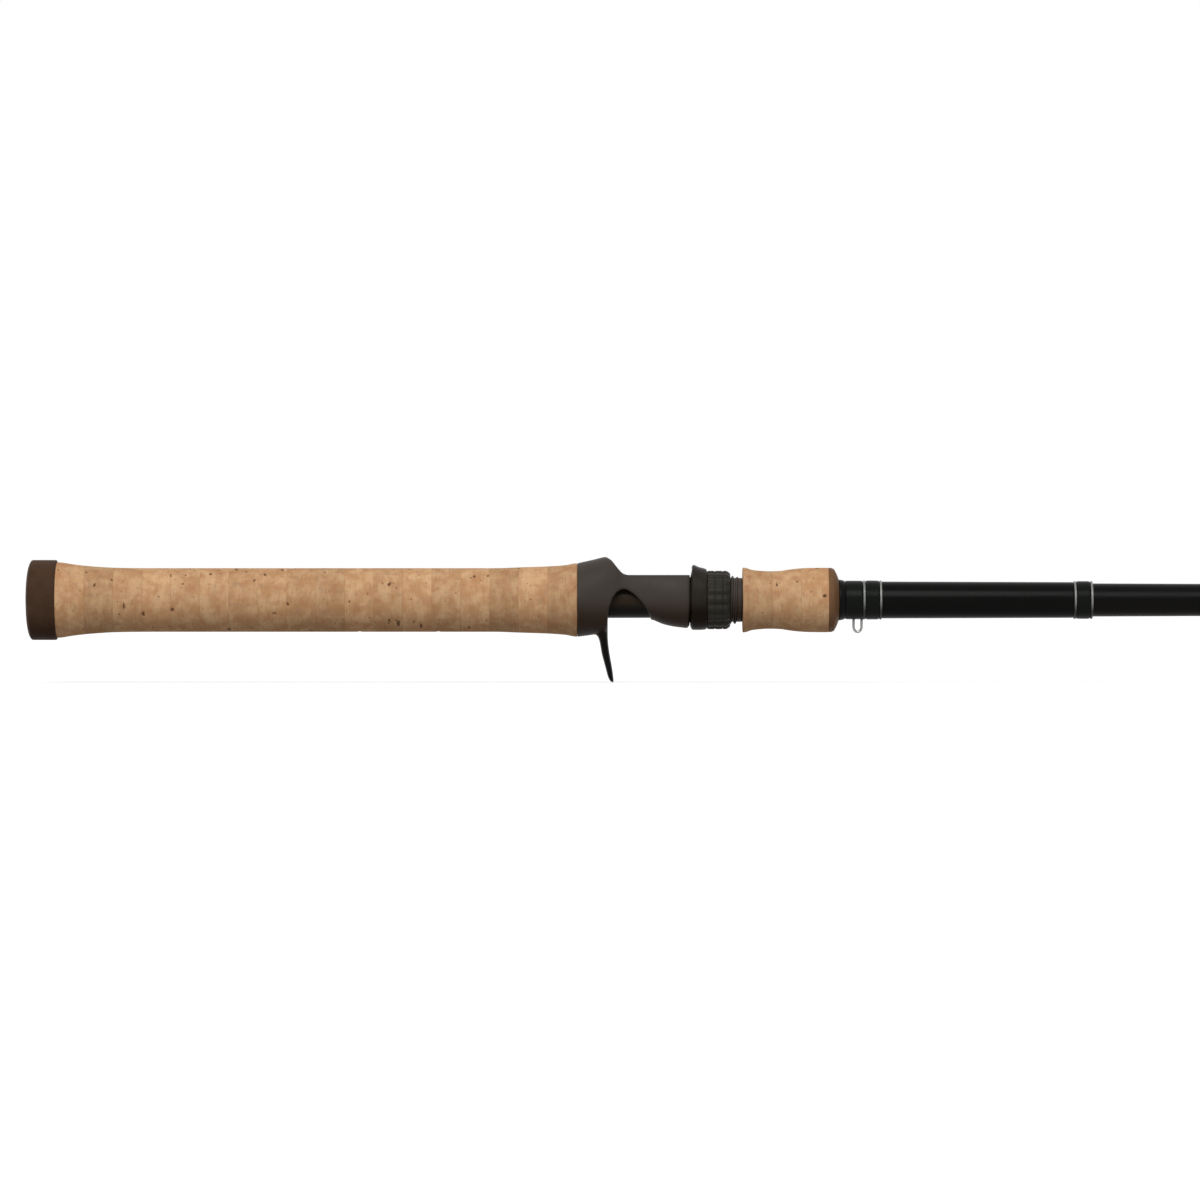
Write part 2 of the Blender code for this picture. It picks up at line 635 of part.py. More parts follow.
def make_movable_hood(parts, tools):
    start = SLIDE_HOOD_START
    end = start + SLIDE_HOOD_LENGTH
    top = SLIDE_HOOD_HEIGHT
    wide = SLIDE_HOOD_RADIUS
    nut = NUT_RADIUS
    edge = SLIDE_HOOD_EDGE
    shoulder = nut + SLIDE_HOOD_SHOULDER
    black = make_material("hood_black", (0.022, 0.02, 0.018), 0.35)
    # Distance, height above, and radius below and beside.
    stations = [
        (start, top - edge, wide - edge),
        (start + edge, top, wide),
        (between(start, end, 0.5), between(shoulder, top, 0.47), wide),
        (end - edge, shoulder, nut),
        (end, shoulder - edge, nut - edge),
    ]
    sections = [egg_section(x, up, around, around, 2.45) for x, up, around in stations]
    hood = loft("movable_hood", sections, parts, black)

    half_tab = KEYWAY_WIDTH / 2 - SEAT_GAP
    tab_top = -(BARREL_RADIUS - KEYWAY_DEPTH + SEAT_GAP)
    reach = 2 * SEAT_GAP
    # The bore is turned with a tab left standing in it, which rides in the keyway.
    bore_cut = turned("hood_bore_cut", [
        (start - reach, 0.0),
        (start - reach, HOOD_BORE_RADIUS),
        (end + reach, HOOD_BORE_RADIUS),
        (end + reach, 0.0),
    ], tools)
    tab = side_prism("hood_tab_keep", [
        (start - 2 * reach, tab_top),
        (end + 2 * reach, tab_top),
        (end + 2 * reach, -2 * HOOD_BORE_RADIUS),
        (start - 2 * reach, -2 * HOOD_BORE_RADIUS),
    ], half_tab, tools)
    boolean(bore_cut, tab, "DIFFERENCE")
    boolean(hood, bore_cut, "DIFFERENCE")

    # The pocket over the front of the reel's foot opens into the bore.
    floor = BARREL_RADIUS - RUN_GAP
    height = SLIDE_POCKET_HEIGHT + RUN_GAP
    half = FOOT_POCKET_HALF_WIDTH
    taper = SLIDE_POCKET_TAPER
    pocket = loft("hood_pocket_cut", [
        arch_section(start - reach, floor, height, half),
        arch_section(start + 0.5 * SLIDE_POCKET_DEPTH, floor, height - 0.4 * taper, half - 0.4 * taper),
        arch_section(start + SLIDE_POCKET_DEPTH, floor, height - taper, half - taper),
    ], tools)
    boolean(hood, pocket, "DIFFERENCE")


def flute_section(x, radius, depth):
    # A circle with rounded grooves, four points to a groove.
    points = []
    count = 4 * NUT_FLUTES
    for i in range(count):
        angle = math.tau * i / count
        cut = depth * (0.0, 0.35, 1.0, 0.35)[i % 4]
        points.append(Vector((x, (radius - cut) * math.cos(angle), (radius - cut) * math.sin(angle))))
    return points


def make_lock_nut(parts):
    start = NUT_START
    end = start + NUT_LENGTH
    shoulder = NUT_RADIUS - NUT_FLUTE_DEPTH
    sections = [
        flute_section(start, HOOD_BORE_RADIUS, 0.0),
        flute_section(start, shoulder, 0.0),
        flute_section(start + NUT_EDGE, NUT_RADIUS, NUT_FLUTE_DEPTH),
        flute_section(end - NUT_EDGE, NUT_RADIUS, NUT_FLUTE_DEPTH),
        flute_section(end, shoulder, 0.0),
        flute_section(end, HOOD_BORE_RADIUS, 0.0),
    ]
    charcoal = make_material("nut_charcoal", (0.05, 0.05, 0.045), 0.4)
    loft("lock_nut", sections, parts, charcoal, closed=True)


def keeper_path():
    # A wire arch under the rod, with a foot turned out at each end.
    middle = KEEPER_WRAP_START + KEEPER_PLACE * KEEPER_WRAP_LENGTH
    half = (KEEPER_SPAN - KEEPER_WIRE) / 2
    rest = -(fit_radius(KEEPER_WRAP_START) + KEEPER_WIRE / 2)
    low = KEEPER_WIRE / 2 - blank_radius(middle) - KEEPER_DROP
    crown = 1.3 * half
    turn = math.sin(math.pi / 4)
    # One side's foot and bend: distance from the middle, and height.
    foot = [
        (half + KEEPER_FOOT, rest),
        (half + KEEPER_BEND, rest),
        (half + KEEPER_BEND * (1 - turn), rest - KEEPER_BEND * (1 - turn)),
    ]
    arch = []
    steps = 10
    for i in range(steps + 1):
        angle = math.pi * i / steps
        arch.append((middle - half * math.cos(angle), 0.0, low + crown * (1 - math.sin(angle))))
    rear_foot = [(middle - away, 0.0, z) for away, z in foot]
    front_foot = [(middle + away, 0.0, z) for away, z in reversed(foot)]
    return rear_foot + arch + front_foot


def make_handle_wraps(parts, tools):
    thread = make_material("wrap_black", (0.018, 0.019, 0.016), 0.15)
    trim = make_material("trim_wrap_black", (0.02, 0.022, 0.017), 0.15)
    silver = make_material("silver_thread", (0.55, 0.56, 0.54), 0.3, 1.0)
    coat = make_material("label_coat_black", (0.014, 0.015, 0.012), 0.1)
    steel = make_material("keeper_steel", (0.45, 0.45, 0.44), 0.25, 1.0)

    wire("hook_keeper", keeper_path(), KEEPER_WIRE / 2, parts, steel)
    room = wire("keeper_room", keeper_path(), KEEPER_WIRE / 2 + GLUE_GAP, tools, None)

    x = KEEPER_WRAP_START
    wrap = sleeve("keeper_wrap", x, KEEPER_WRAP_LENGTH, KEEPER_WRAP_WALL, parts, thread)
    boolean(wrap, room, "DIFFERENCE")
    x += KEEPER_WRAP_LENGTH + GLUE_GAP
    for number, place in ((1, "rear"), (3, "front")):
        first = band(f"silver_band_{number}", x, BAND_LENGTH, BAND_WALL, parts, silver)
        x += BAND_LENGTH + GLUE_GAP
        wrap = sleeve(f"{place}_trim_wrap", x, TRIM_WRAP_LENGTH, TRIM_WRAP_WALL, parts, trim)
        x += TRIM_WRAP_LENGTH + GLUE_GAP
        band(f"silver_band_{number + 1}", x, BAND_LENGTH, BAND_WALL, parts, silver)
        x += BAND_LENGTH + GLUE_GAP
        if place == "rear":
            boolean(first, room, "DIFFERENCE")
            boolean(wrap, room, "DIFFERENCE")
            band("label_coat", x, LABEL_COAT_LENGTH, LABEL_COAT_WALL, parts, coat)
            x += LABEL_COAT_LENGTH + GLUE_GAP


def ring_outline(size):
    # Section of a guide's ceramic ring, with a rounded inner lip.
    outer = size / 2
    inner = outer - RING_WALL
    half = RING_WIDTH / 2
    return [
        (-half, outer),
        (half, outer),
        (half, inner + 0.4 * RING_WALL),
        (0.4 * half, inner),
        (-0.4 * half, inner),
        (-half, inner + 0.4 * RING_WALL),
    ]


def rim_radius(size):
    return size / 2 + RING_FIT + BAND_RIM


def ring_height(size):
    # From a guide's foot to the centre of its ring.
    return FRAME_LEG_LENGTH + rim_radius(size)


def frame_plate(name, size, collection):
    # The upright, stamped from sheet: a rim round the ring on two legs that
    # narrow to the foot, with an opening between them. Drawn flat in X and Y,
    # in millimetres, because a filled curve loses holes that are too small.
    rim = rim_radius(size)
    centre = ring_height(size)
    spread = math.radians(FRAME_SPREAD)
    steps = 14
    rim_arc = []
    for i in range(steps + 1):
        angle = -math.pi / 2 + spread + (math.tau - 2 * spread) * i / steps
        rim_arc.append((rim * math.cos(angle), centre + rim * math.sin(angle)))
    outer = [(FOOT_HALF_WIDTH, 0.0)] + rim_arc + [(-FOOT_HALF_WIDTH, 0.0)]
    hole = size / 2 + RING_FIT
    ring_hole = [
        (hole * math.cos(math.tau * i / GUIDE_STEPS), centre + hole * math.sin(math.tau * i / GUIDE_STEPS))
        for i in range(GUIDE_STEPS)
    ]
    low = 0.42 * FRAME_LEG_LENGTH
    high = centre - rim - 0.05 * FRAME_LEG_LENGTH
    wide = 0.34 * rim
    gap = [(0.0, low), (wide, high), (0.0, between(high, low, 0.15)), (-wide, high)]
    curve = bpy.data.curves.new(name, "CURVE")
    curve.dimensions = "2D"
    curve.fill_mode = "BOTH"
    curve.extrude = FRAME_THICKNESS / 2 / MM
    curve.render_resolution_u = 0
    for outline in (outer, ring_hole, gap):
        spline = curve.splines.new("POLY")
        spline.points.add(len(outline) - 1)
        spline.use_cyclic_u = True
        for place, point in zip(spline.points, outline):
            place.co = (point[0] / MM, point[1] / MM, 0.0, 1.0)
    obj = bpy.data.objects.new(name, curve)
    collection.objects.link(obj)
    bpy.context.view_layer.update()
    return frozen(obj, name, collection)


def stand_up(obj, x, z):
    # Turns a plate drawn in X and Y into the plane across the rod.
    turn = Matrix(((0, 0, MM, x), (MM, 0, 0, 0), (0, MM, 0, z), (0, 0, 0, 1)))
    obj.data.transform(turn)


def bar(name, path, widths, thickness, collection):
    # A strip along (x, z) points, flat side down, with its own width at each.
    sections = []
    for index, (x, z) in enumerate(path):
        before = Vector(path[max(index - 1, 0)])
        after = Vector(path[min(index + 1, len(path) - 1)])
        along = (after - before).normalized()
        rise = Vector((-along.y, along.x)) * thickness[index] / 2
        half = widths[index] / 2
        sections.append([
            Vector((x + rise.x, -half, z + rise.y)),
            Vector((x + rise.x, half, z + rise.y)),
            Vector((x - rise.x, half, z - rise.y)),
            Vector((x - rise.x, -half, z - rise.y)),
        ])
    return loft(name, sections, collection)


def foot_bar(name, x, z, direction, collection):
    # A guide's foot, ground thinner and narrower towards its end.
    thick = FOOT_THICKNESS
    thin = FOOT_TIP_SHARE * FOOT_THICKNESS
    reach = direction * FOOT_LENGTH
    path = [
        (x - direction * FRAME_THICKNESS / 2, z + thick / 2),
        (x + FOOT_FULL_SHARE * reach, z + thick / 2),
        (x + reach, z + thin / 2),
    ]
    wide = 2 * FOOT_HALF_WIDTH
    return bar(name, path, [wide, wide, FOOT_TIP_SHARE * wide], [thick, thick, thin], collection)


def foot_room(name, x, z, direction, collection):
    # The space that a wrap leaves for a foot, from the axis to over the foot.
    high = z + FOOT_THICKNESS + GLUE_GAP
    low = z + FOOT_TIP_SHARE * FOOT_THICKNESS + GLUE_GAP
    near = x - direction * FRAME_THICKNESS / 2
    far = x + direction * (FOOT_LENGTH + GLUE_GAP)
    full = x + direction * FOOT_FULL_SHARE * FOOT_LENGTH
    outline = [(near, 0.0), (near, high), (full, high), (far, low), (far, 0.0)]
    return side_prism(name, outline, FOOT_HALF_WIDTH + GLUE_GAP, collection)


def shoulder_angle(around, top, half):
    # Where a straight line from a foot's upper edge meets the round of the wrap.
    return math.atan2(top, half) - math.acos(around / math.hypot(half, top))


def wrap_section(x, around, top, half, shoulder, low):
    # Flat across the foot, straight down from its edges to the angle given as
    # low, and round from there.
    count = GUIDE_STEPS - 4
    points = []
    for i in range(count):
        angle = low - (math.pi + 2 * low) * i / (count - 1)
        points.append(Vector((x, around * math.cos(angle), around * math.sin(angle))))
    side = top - shoulder
    flat = half - shoulder
    points += [Vector((x, y, z)) for y, z in ((-half, side), (-flat, top), (flat, top), (half, side))]
    return points


def foot_wrap(name, x, direction, parts, tools, room, material):
    # Thread over the foot, coated: round below, and raised over the foot.
    near = x + direction * (FRAME_THICKNESS / 2 + FOOT_WRAP_SETBACK)
    far = near + direction * FOOT_WRAP_LENGTH
    shoulder = FOOT_WRAP_WALL / 3
    half = FOOT_HALF_WIDTH + GLUE_GAP + shoulder
    # Share of the length from the ring's side, of the wall and of the foot's thickness.
    rows = []
    for along, wall, cover in ((0.0, 0.35, 0.35), (0.16, 0.95, 1.15), (0.72, 0.95, 0.95), (1.0, 0.35, 0.1)):
        place = between(near, far, along)
        around = fit_radius(place) + FOOT_WRAP_WALL * wall
        rows.append((place, around, around + FOOT_THICKNESS * cover))
    low = min(shoulder_angle(around, top, half) for _, around, top in rows)
    sections = [wrap_section(place, around, top, half, shoulder, low) for place, around, top in rows]
    wrap = loft(name, sections, parts, material)
    start = min(near, far) - SEAT_GAP
    end = max(near, far) + SEAT_GAP
    bore = turned(f"{name}_bore", [
        (start, 0.0),
        (start, fit_radius(start)),
        (end, fit_radius(end)),
        (end, 0.0),
    ], tools)
    boolean(wrap, bore, "DIFFERENCE")
    boolean(wrap, room, "DIFFERENCE")


def make_guide(number, from_tip, size, parts, tools):
    x = ROD_LENGTH - from_tip
    base = fit_radius(x - FOOT_LENGTH)
    steel = make_material(f"guide_{number}_steel", (0.35, 0.35, 0.36), 0.22, 1.0)
    ceramic = make_material(f"guide_{number}_ceramic", (0.03, 0.03, 0.032), 0.12)
    thread = make_material(f"guide_{number}_thread", (0.016, 0.017, 0.015), 0.15)
    name = f"guide_{number}"

    plate = frame_plate(f"{name}_frame", size, parts)
    stand_up(plate, x, base)
    plate.data.materials.append(steel)
    directions = (1, -1) if number <= DOUBLE_FOOT_COUNT else (1,)
    for direction in directions:
        side = "front" if direction > 0 else "rear"
        foot_x = x if direction > 0 else x - STRUT_REACH * ring_height(size)
        foot = foot_bar(f"{name}_{side}_foot", foot_x, base, direction, tools)
        boolean(plate, foot, "UNION")
        if direction < 0:
            rim_low = base + ring_height(size) - size / 2 - RING_FIT - BAND_RIM / 2
            strut = bar(f"{name}_strut", [
                (foot_x - FRAME_THICKNESS / 4, base + STRUT_ROOT),
                (foot_x + STRUT_BEND, base + FOOT_THICKNESS),
                (x - STRUT_BEND, rim_low - STRUT_BEND / 2),
                (x + FRAME_THICKNESS / 4, rim_low),
            ], [2 * FOOT_HALF_WIDTH] * 4, [STRUT_THICKNESS] * 4, tools)
            boolean(plate, strut, "UNION")
        room = foot_room(f"{name}_{side}_room", foot_x, base, direction, tools)
        wrap_name = f"{name}_{side}_wrap" if len(directions) > 1 else f"{name}_wrap"
        foot_wrap(wrap_name, foot_x, direction, parts, tools, room, thread)
    turned(
        f"{name}_ring", ring_outline(size), parts, ceramic,
        steps=GUIDE_STEPS, place=(x, 0.0, base + ring_height(size)),
    )


def make_tip_top(parts, tools):
    steel = make_material("tip_steel", (0.35, 0.35, 0.36), 0.22, 1.0)
    ceramic = make_material("tip_ceramic", (0.03, 0.03, 0.032), 0.12)
    thread = make_material("tip_thread", (0.016, 0.017, 0.015), 0.15)
    start = TIP_TUBE_START
    end = ROD_LENGTH
    bore = fit_radius(start)
    outer = bore + TIP_TUBE_WALL
    # The tube is closed at the tip, so its outline runs from the axis inside the
    # bore to the axis at its end.
    tube = turned("tip_top_tube", [
        (end - TIP_TUBE_WALL, 0.0),
        (end - TIP_TUBE_WALL, bore),
        (start, bore),
        (start, outer),
        (end - TIP_TUBE_EDGE, outer),
        (end, outer - TIP_TUBE_EDGE),
        (end, 0.0),
    ], tools, steps=GUIDE_STEPS)
    x = end - RING_WIDTH / 2
    base = outer - TIP_FRAME_SINK
    plate = frame_plate("tip_top_frame", TIP_RING_SIZE, parts)
    stand_up(plate, x, base)
    plate.data.materials.append(steel)
    boolean(plate, tube, "UNION")
    rim_low = base + ring_height(TIP_RING_SIZE) - TIP_RING_SIZE / 2 - RING_FIT - BAND_RIM / 2
    strut_foot = start + TIP_STRUT_PLACE
    strut = bar("tip_strut", [
        (strut_foot, outer - TIP_FRAME_SINK),
        (strut_foot + STRUT_BEND, outer),
        (x - STRUT_BEND, rim_low - STRUT_BEND / 2),
        (x + FRAME_THICKNESS / 4, rim_low),
    ], [TIP_STRUT_WIDTH] * 4, [STRUT_THICKNESS] * 4, tools)
    boolean(plate, strut, "UNION")
    turned(
        "tip_top_ring", ring_outline(TIP_RING_SIZE), parts, ceramic,
        steps=GUIDE_STEPS, place=(x, 0.0, base + ring_height(TIP_RING_SIZE)),
    )
    sleeve("tip_wrap", start - GLUE_GAP - TIP_WRAP_LENGTH, TIP_WRAP_LENGTH, TIP_TUBE_WALL, parts, thread)


def main():
    clear_scene()
    parts = new_collection("casting_rod")
    tools = new_collection("casting_rod_cutters")
    make_blank(parts)
    make_butt_cap(parts)
    make_rear_grip(parts)
    make_reel_seat(parts, tools)
    make_arbors(parts)
    make_movable_hood(parts, tools)
    make_lock_nut(parts)
    make_fore_grip(parts)
    make_grip_end(parts)
    make_handle_wraps(parts, tools)
    for number, (from_tip, size) in enumerate(GUIDE_STATIONS, 1):
        make_guide(number, from_tip, size, parts, tools)
    make_tip_top(parts, tools)


main()
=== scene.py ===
# The looks of a casting rod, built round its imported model.
# Shapes are worked out in millimetres and turned into metres when a piece is
# finished. +X runs from the butt to the tip, and +Z is the side of the reel.

import json
from math import acos, atan2, copysign, cos, hypot, pi, radians, sin, tau

import bmesh
import bpy
import numpy as np
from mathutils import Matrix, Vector

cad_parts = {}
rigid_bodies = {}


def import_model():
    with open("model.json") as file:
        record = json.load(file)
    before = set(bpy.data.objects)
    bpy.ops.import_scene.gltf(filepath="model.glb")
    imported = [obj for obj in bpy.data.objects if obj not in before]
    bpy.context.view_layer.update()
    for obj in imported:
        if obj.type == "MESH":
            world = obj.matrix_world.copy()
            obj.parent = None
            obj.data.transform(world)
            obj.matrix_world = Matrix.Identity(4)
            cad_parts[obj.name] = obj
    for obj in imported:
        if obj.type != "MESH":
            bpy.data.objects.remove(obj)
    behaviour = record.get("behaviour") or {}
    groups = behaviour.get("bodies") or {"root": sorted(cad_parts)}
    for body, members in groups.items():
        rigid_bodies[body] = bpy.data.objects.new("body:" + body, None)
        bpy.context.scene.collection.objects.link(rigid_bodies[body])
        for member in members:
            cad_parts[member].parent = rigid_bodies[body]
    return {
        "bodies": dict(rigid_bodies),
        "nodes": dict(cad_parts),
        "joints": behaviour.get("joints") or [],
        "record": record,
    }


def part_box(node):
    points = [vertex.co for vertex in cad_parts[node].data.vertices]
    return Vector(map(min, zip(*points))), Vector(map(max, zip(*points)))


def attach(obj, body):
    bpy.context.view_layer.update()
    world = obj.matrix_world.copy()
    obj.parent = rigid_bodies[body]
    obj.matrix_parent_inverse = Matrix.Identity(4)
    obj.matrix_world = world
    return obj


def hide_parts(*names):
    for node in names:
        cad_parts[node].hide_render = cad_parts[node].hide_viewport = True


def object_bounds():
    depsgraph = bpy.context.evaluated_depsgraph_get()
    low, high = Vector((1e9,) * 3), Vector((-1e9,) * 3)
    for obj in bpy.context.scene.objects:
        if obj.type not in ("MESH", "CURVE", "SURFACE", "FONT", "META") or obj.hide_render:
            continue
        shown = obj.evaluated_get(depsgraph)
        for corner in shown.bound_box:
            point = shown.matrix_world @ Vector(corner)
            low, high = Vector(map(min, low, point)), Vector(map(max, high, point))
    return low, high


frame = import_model()
cadBounds = [list(corner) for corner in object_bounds()]
print("frame loaded:", len(frame["nodes"]), "nodes")

metre = 0.001  # one millimetre in metres
hairline = 0.02  # left between pieces that are drawn up to each other, mm
creaseAngle = 40.0  # edges that turn more than this stay sharp, degrees

rod = {
    "length": 1830.0,
    "handleStation": 470.0,  # the taper changes here
    "buttRadius": 8.7, "handleRadius": 7.3, "tipRadius": 1.4, "buttWall": 1.7, "tipWall": 0.8,
    "glueGap": 0.15, "sides": 72,
}


def blend(first, second, share):
    return first + (second - first) * share


def blankRadius(x):
    if x < rod["handleStation"]:
        return blend(rod["buttRadius"], rod["handleRadius"], x / rod["handleStation"])
    share = (x - rod["handleStation"]) / (rod["length"] - rod["handleStation"])
    return blend(rod["handleRadius"], rod["tipRadius"], share)


def fitRadius(x):
    return blankRadius(x) + rod["glueGap"]


def span(node):
    # Where a node starts and ends along the rod, in millimetres.
    low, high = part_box(node)
    return low.x / metre, high.x / metre


def snug(node, gap=rod["glueGap"]):
    # The same, drawn on over the solids' glue gap to the piece ahead.
    start, end = span(node)
    return start, end + gap - hairline


def smoothCurve(rows):
    # A curve through (place, value, ...) rows that never swings past them.
    places = [row[0] for row in rows]
    columns = list(zip(*[row[1:] for row in rows]))

    def slopes(values):
        steps = [(b - a) / (q - p) for a, b, p, q in zip(values, values[1:], places, places[1:])]
        inner = [0.0 if a * b <= 0 else 2 * a * b / (a + b) for a, b in zip(steps, steps[1:])]
        return [steps[0]] + inner + [steps[-1]]

    tangents = [slopes(values) for values in columns]

    def read(place):
        i = 0
        while i < len(places) - 2 and place > places[i + 1]:
            i += 1
        width = places[i + 1] - places[i]
        t = min(max((place - places[i]) / width, 0.0), 1.0)
        found = []
        for values, slope in zip(columns, tangents):
            found.append(
                (2 * t**3 - 3 * t**2 + 1) * values[i]
                + (t**3 - 2 * t**2 + t) * width * slope[i]
                + (3 * t**2 - 2 * t**3) * values[i + 1]
                + (t**3 - t**2) * width * slope[i + 1]
            )
        return found[0] if len(found) == 1 else found

    return read


def spread(start, end, step):
    # Evenly spaced places from start to end, about one step apart.
    count = max(2, round(abs(end - start) / step) + 1)
    return [blend(start, end, i / (count - 1)) for i in range(count)]


def signedPower(value, power):
    return copysign(abs(value) ** power, value)


def arc(steps, whole=pi / 2):
    # The sine and cosine of evenly spaced angles, from 0 to a quarter turn or the whole given.
    angles = [whole * i / steps for i in range(steps + 1)]
    return [(sin(angle), cos(angle)) for angle in angles]


# Shaders

class Wire:
    # A socket that can be used in sums.
    def __init__(self, shader, socket):
        self.shader = shader
        self.socket = socket

    def __add__(self, other):
        return self.shader.work("ADD", self, other)

    __radd__ = __add__

    def __sub__(self, other):
        return self.shader.work("SUBTRACT", self, other)

    def __rsub__(self, other):
        return self.shader.work("SUBTRACT", other, self)

    def __mul__(self, other):
        return self.shader.work("MULTIPLY", self, other)

    __rmul__ = __mul__

    def __truediv__(self, other):
        return self.shader.work("DIVIDE", self, other)


class Shader:
    # A material with one Principled shader, its constants set at once.
    def __init__(self, name, constants=None):
        self.material = bpy.data.materials.new(name)
        self.material.use_nodes = True
        self.tree = self.material.node_tree
        self.surface = self.tree.nodes["Principled BSDF"]
        self.set(constants or {})

    def set(self, values):
        for name, value in values.items():
            self.feed(self.surface.inputs[name], value)

    def feed(self, socket, value):
        if isinstance(value, Wire):
            self.tree.links.new(value.socket, socket)
        elif isinstance(value, tuple) and len(value) == 3 and socket.type == "RGBA":
            socket.default_value = (*value, 1.0)
        else:
            socket.default_value = value

    def node(self, kind, settings=None, inputs=None, output=0):
        made = self.tree.nodes.new("ShaderNode" + kind)
        for name, value in (settings or {}).items():
            setattr(made, name, value)
        for name, value in (inputs or {}).items():
            self.feed(made.inputs[name], value)
        return Wire(self, made.outputs[output])

    def work(self, operation, first, second=0.0):
        return self.node("Math", {"operation": operation}, {0: first, 1: second})

    def point(self):
        # Object coordinates in millimetres.
        place = self.node("TexCoord", output="Object")
        return self.vector("SCALE", place, scale=1 / metre)

    def vector(self, operation, first, second=None, scale=None):
        inputs = {0: first}
        if second is not None:
            inputs[1] = second
        if scale is not None:
            inputs["Scale"] = scale
        return self.node("VectorMath", {"operation": operation}, inputs)

    def split(self, vector):
        parts = self.node("SeparateXYZ", inputs={0: vector}).socket.node
        return [Wire(self, socket) for socket in parts.outputs]

    def noise(self, vector, scale, detail=3.0, roughness=0.55, stretch=None):
        if stretch:
            vector = self.vector("MULTIPLY", vector, stretch)
        settings = {"Vector": vector, "Scale": scale, "Detail": detail, "Roughness": roughness}
        return self.node("TexNoise", {}, settings)

    def ease(self, value, low, high, start=0.0, end=1.0):
        inputs = {"Value": value, "From Min": low, "From Max": high, "To Min": start, "To Max": end}
        return self.node("MapRange", {"interpolation_type": "SMOOTHSTEP"}, inputs)

    def mix(self, share, first, second, kind="MIX"):
        settings = {"data_type": "RGBA", "blend_type": kind}
        return self.node("Mix", settings, {0: share, 6: first, 7: second}, output=2)

    def layered(self, color, layers):
        # Lays colours over one another, each with its mask and strength.
        for mask, strength, other in layers:
            color = self.mix(mask * strength, color, other)
        return color

    def bump(self, height, depth, strength=1.0):
        # Depth is what a height of one stands for, in millimetres.
        relief = {"Height": height, "Distance": depth * metre, "Strength": strength}
        self.set({"Normal": self.node("Bump", {}, relief)})


# Making and finishing meshes

def aroundRod(x, radius, angle):
    return Vector((x, radius * sin(angle), radius * cos(angle)))


def turned(outline, steps=96, closed=True):
    # Turns (x, radius) points about the rod's axis.
    bm = bmesh.new()
    verts = [bm.verts.new((x, 0.0, radius)) for x, radius in outline]
    pairs = list(zip(verts, verts[1:]))
    if closed:
        pairs.append((verts[-1], verts[0]))
    edges = [bm.edges.new(pair) for pair in pairs]
    bmesh.ops.spin(
        bm, geom=verts + edges, cent=(0, 0, 0), axis=(1, 0, 0), dvec=(0, 0, 0),
        angle=tau, steps=steps, use_merge=True,
    )
    bmesh.ops.remove_doubles(bm, verts=bm.verts, dist=0.0001)
    bmesh.ops.recalc_face_normals(bm, faces=bm.faces)
    return bm


def lofted(sections, closed=False):
    # Bridges closed sections of equal point count and caps the ends.
    bm = bmesh.new()
    loops = []
    for section in sections:
        verts = [bm.verts.new(point) for point in section]
        loops.append([bm.edges.new((verts[i - 1], verts[i])) for i in range(len(verts))])
    pairs = list(zip(loops, loops[1:]))
    if closed:
        pairs.append((loops[-1], loops[0]))
    for first, second in pairs:
        bmesh.ops.bridge_loops(bm, edges=first + second)
    if not closed:
        bmesh.ops.holes_fill(bm, edges=loops[0] + loops[-1], sides=0)
    bmesh.ops.recalc_face_normals(bm, faces=bm.faces)
    return bm


def prism(outline, half):
    # Draws (x, z) points out to both sides of the rod's middle.
    bm = bmesh.new()
    face = bm.faces.new([bm.verts.new((x, -half, z)) for x, z in outline])
    drawn = bmesh.ops.extrude_face_region(bm, geom=[face])
    moved = [item for item in drawn["geom"] if isinstance(item, bmesh.types.BMVert)]
    bmesh.ops.translate(bm, verts=moved, vec=(0.0, 2 * half, 0.0))
    bmesh.ops.recalc_face_normals(bm, faces=bm.faces)
    return bm


def sleeve(outline, start, end, sides=96):
    # An outline turned round the blank, from start to end.
    return turned(outline + [(end, fitRadius(end)), (start, fitRadius(start))], sides)


def addMesh(bm, other):
    mesh = bpy.data.meshes.new("part")
    other.to_mesh(mesh)
    other.free()
    bm.from_mesh(mesh)
    bpy.data.meshes.remove(mesh)


def linked(name, data):
    item = bpy.data.objects.new(name, data)
    bpy.context.scene.collection.objects.link(item)
    return item


def looseObject(bm, name):
    mesh = bpy.data.meshes.new(name)
    bm.to_mesh(mesh)
    bm.free()
    return linked(name, mesh)


def carved(bm, tools, voxel=None, softness=0, keep=None):
    # Joins and cuts with the tools in turn, then remeshes so that every edge
    # is a little round, as moulded and cast pieces are, and thins the mesh out.
    body = looseObject(bm, "carving")
    items = [looseObject(tool, "tool") for _, tool in tools]
    steps = [
        ("BOOLEAN", {"operation": operation, "solver": "EXACT", "object": item})
        for (operation, _), item in zip(tools, items)
    ]
    if voxel:
        steps.append(("REMESH", {"mode": "VOXEL", "voxel_size": voxel}))
    if softness:
        steps.append(("SMOOTH", {"iterations": softness, "factor": 0.5}))
    if keep:
        steps.append(("DECIMATE", {"ratio": keep}))
    for kind, settings in steps:
        step = body.modifiers.new(kind, kind)
        for name, value in settings.items():
            setattr(step, name, value)
    graph = bpy.context.evaluated_depsgraph_get()
    mesh = bpy.data.meshes.new_from_object(body.evaluated_get(graph))
    result = bmesh.new()
    result.from_mesh(mesh)
    bpy.data.meshes.remove(mesh)
    for item in (body, *items):
        bpy.data.objects.remove(item)
    return result


def soften(bm, rounds, along, height, away=-1.0):
    # Rounds edges some more where x and z are in range and y is far from the middle.
    verts = [
        vert for vert in bm.verts
        if along[0] < vert.co.x < along[1] and height[0] < vert.co.z < height[1] and abs(vert.co.y) > away
    ]
    for _ in range(rounds):
        bmesh.ops.smooth_vert(
            bm, verts=verts, factor=0.5, use_axis_x=True, use_axis_y=True, use_axis_z=True,
        )


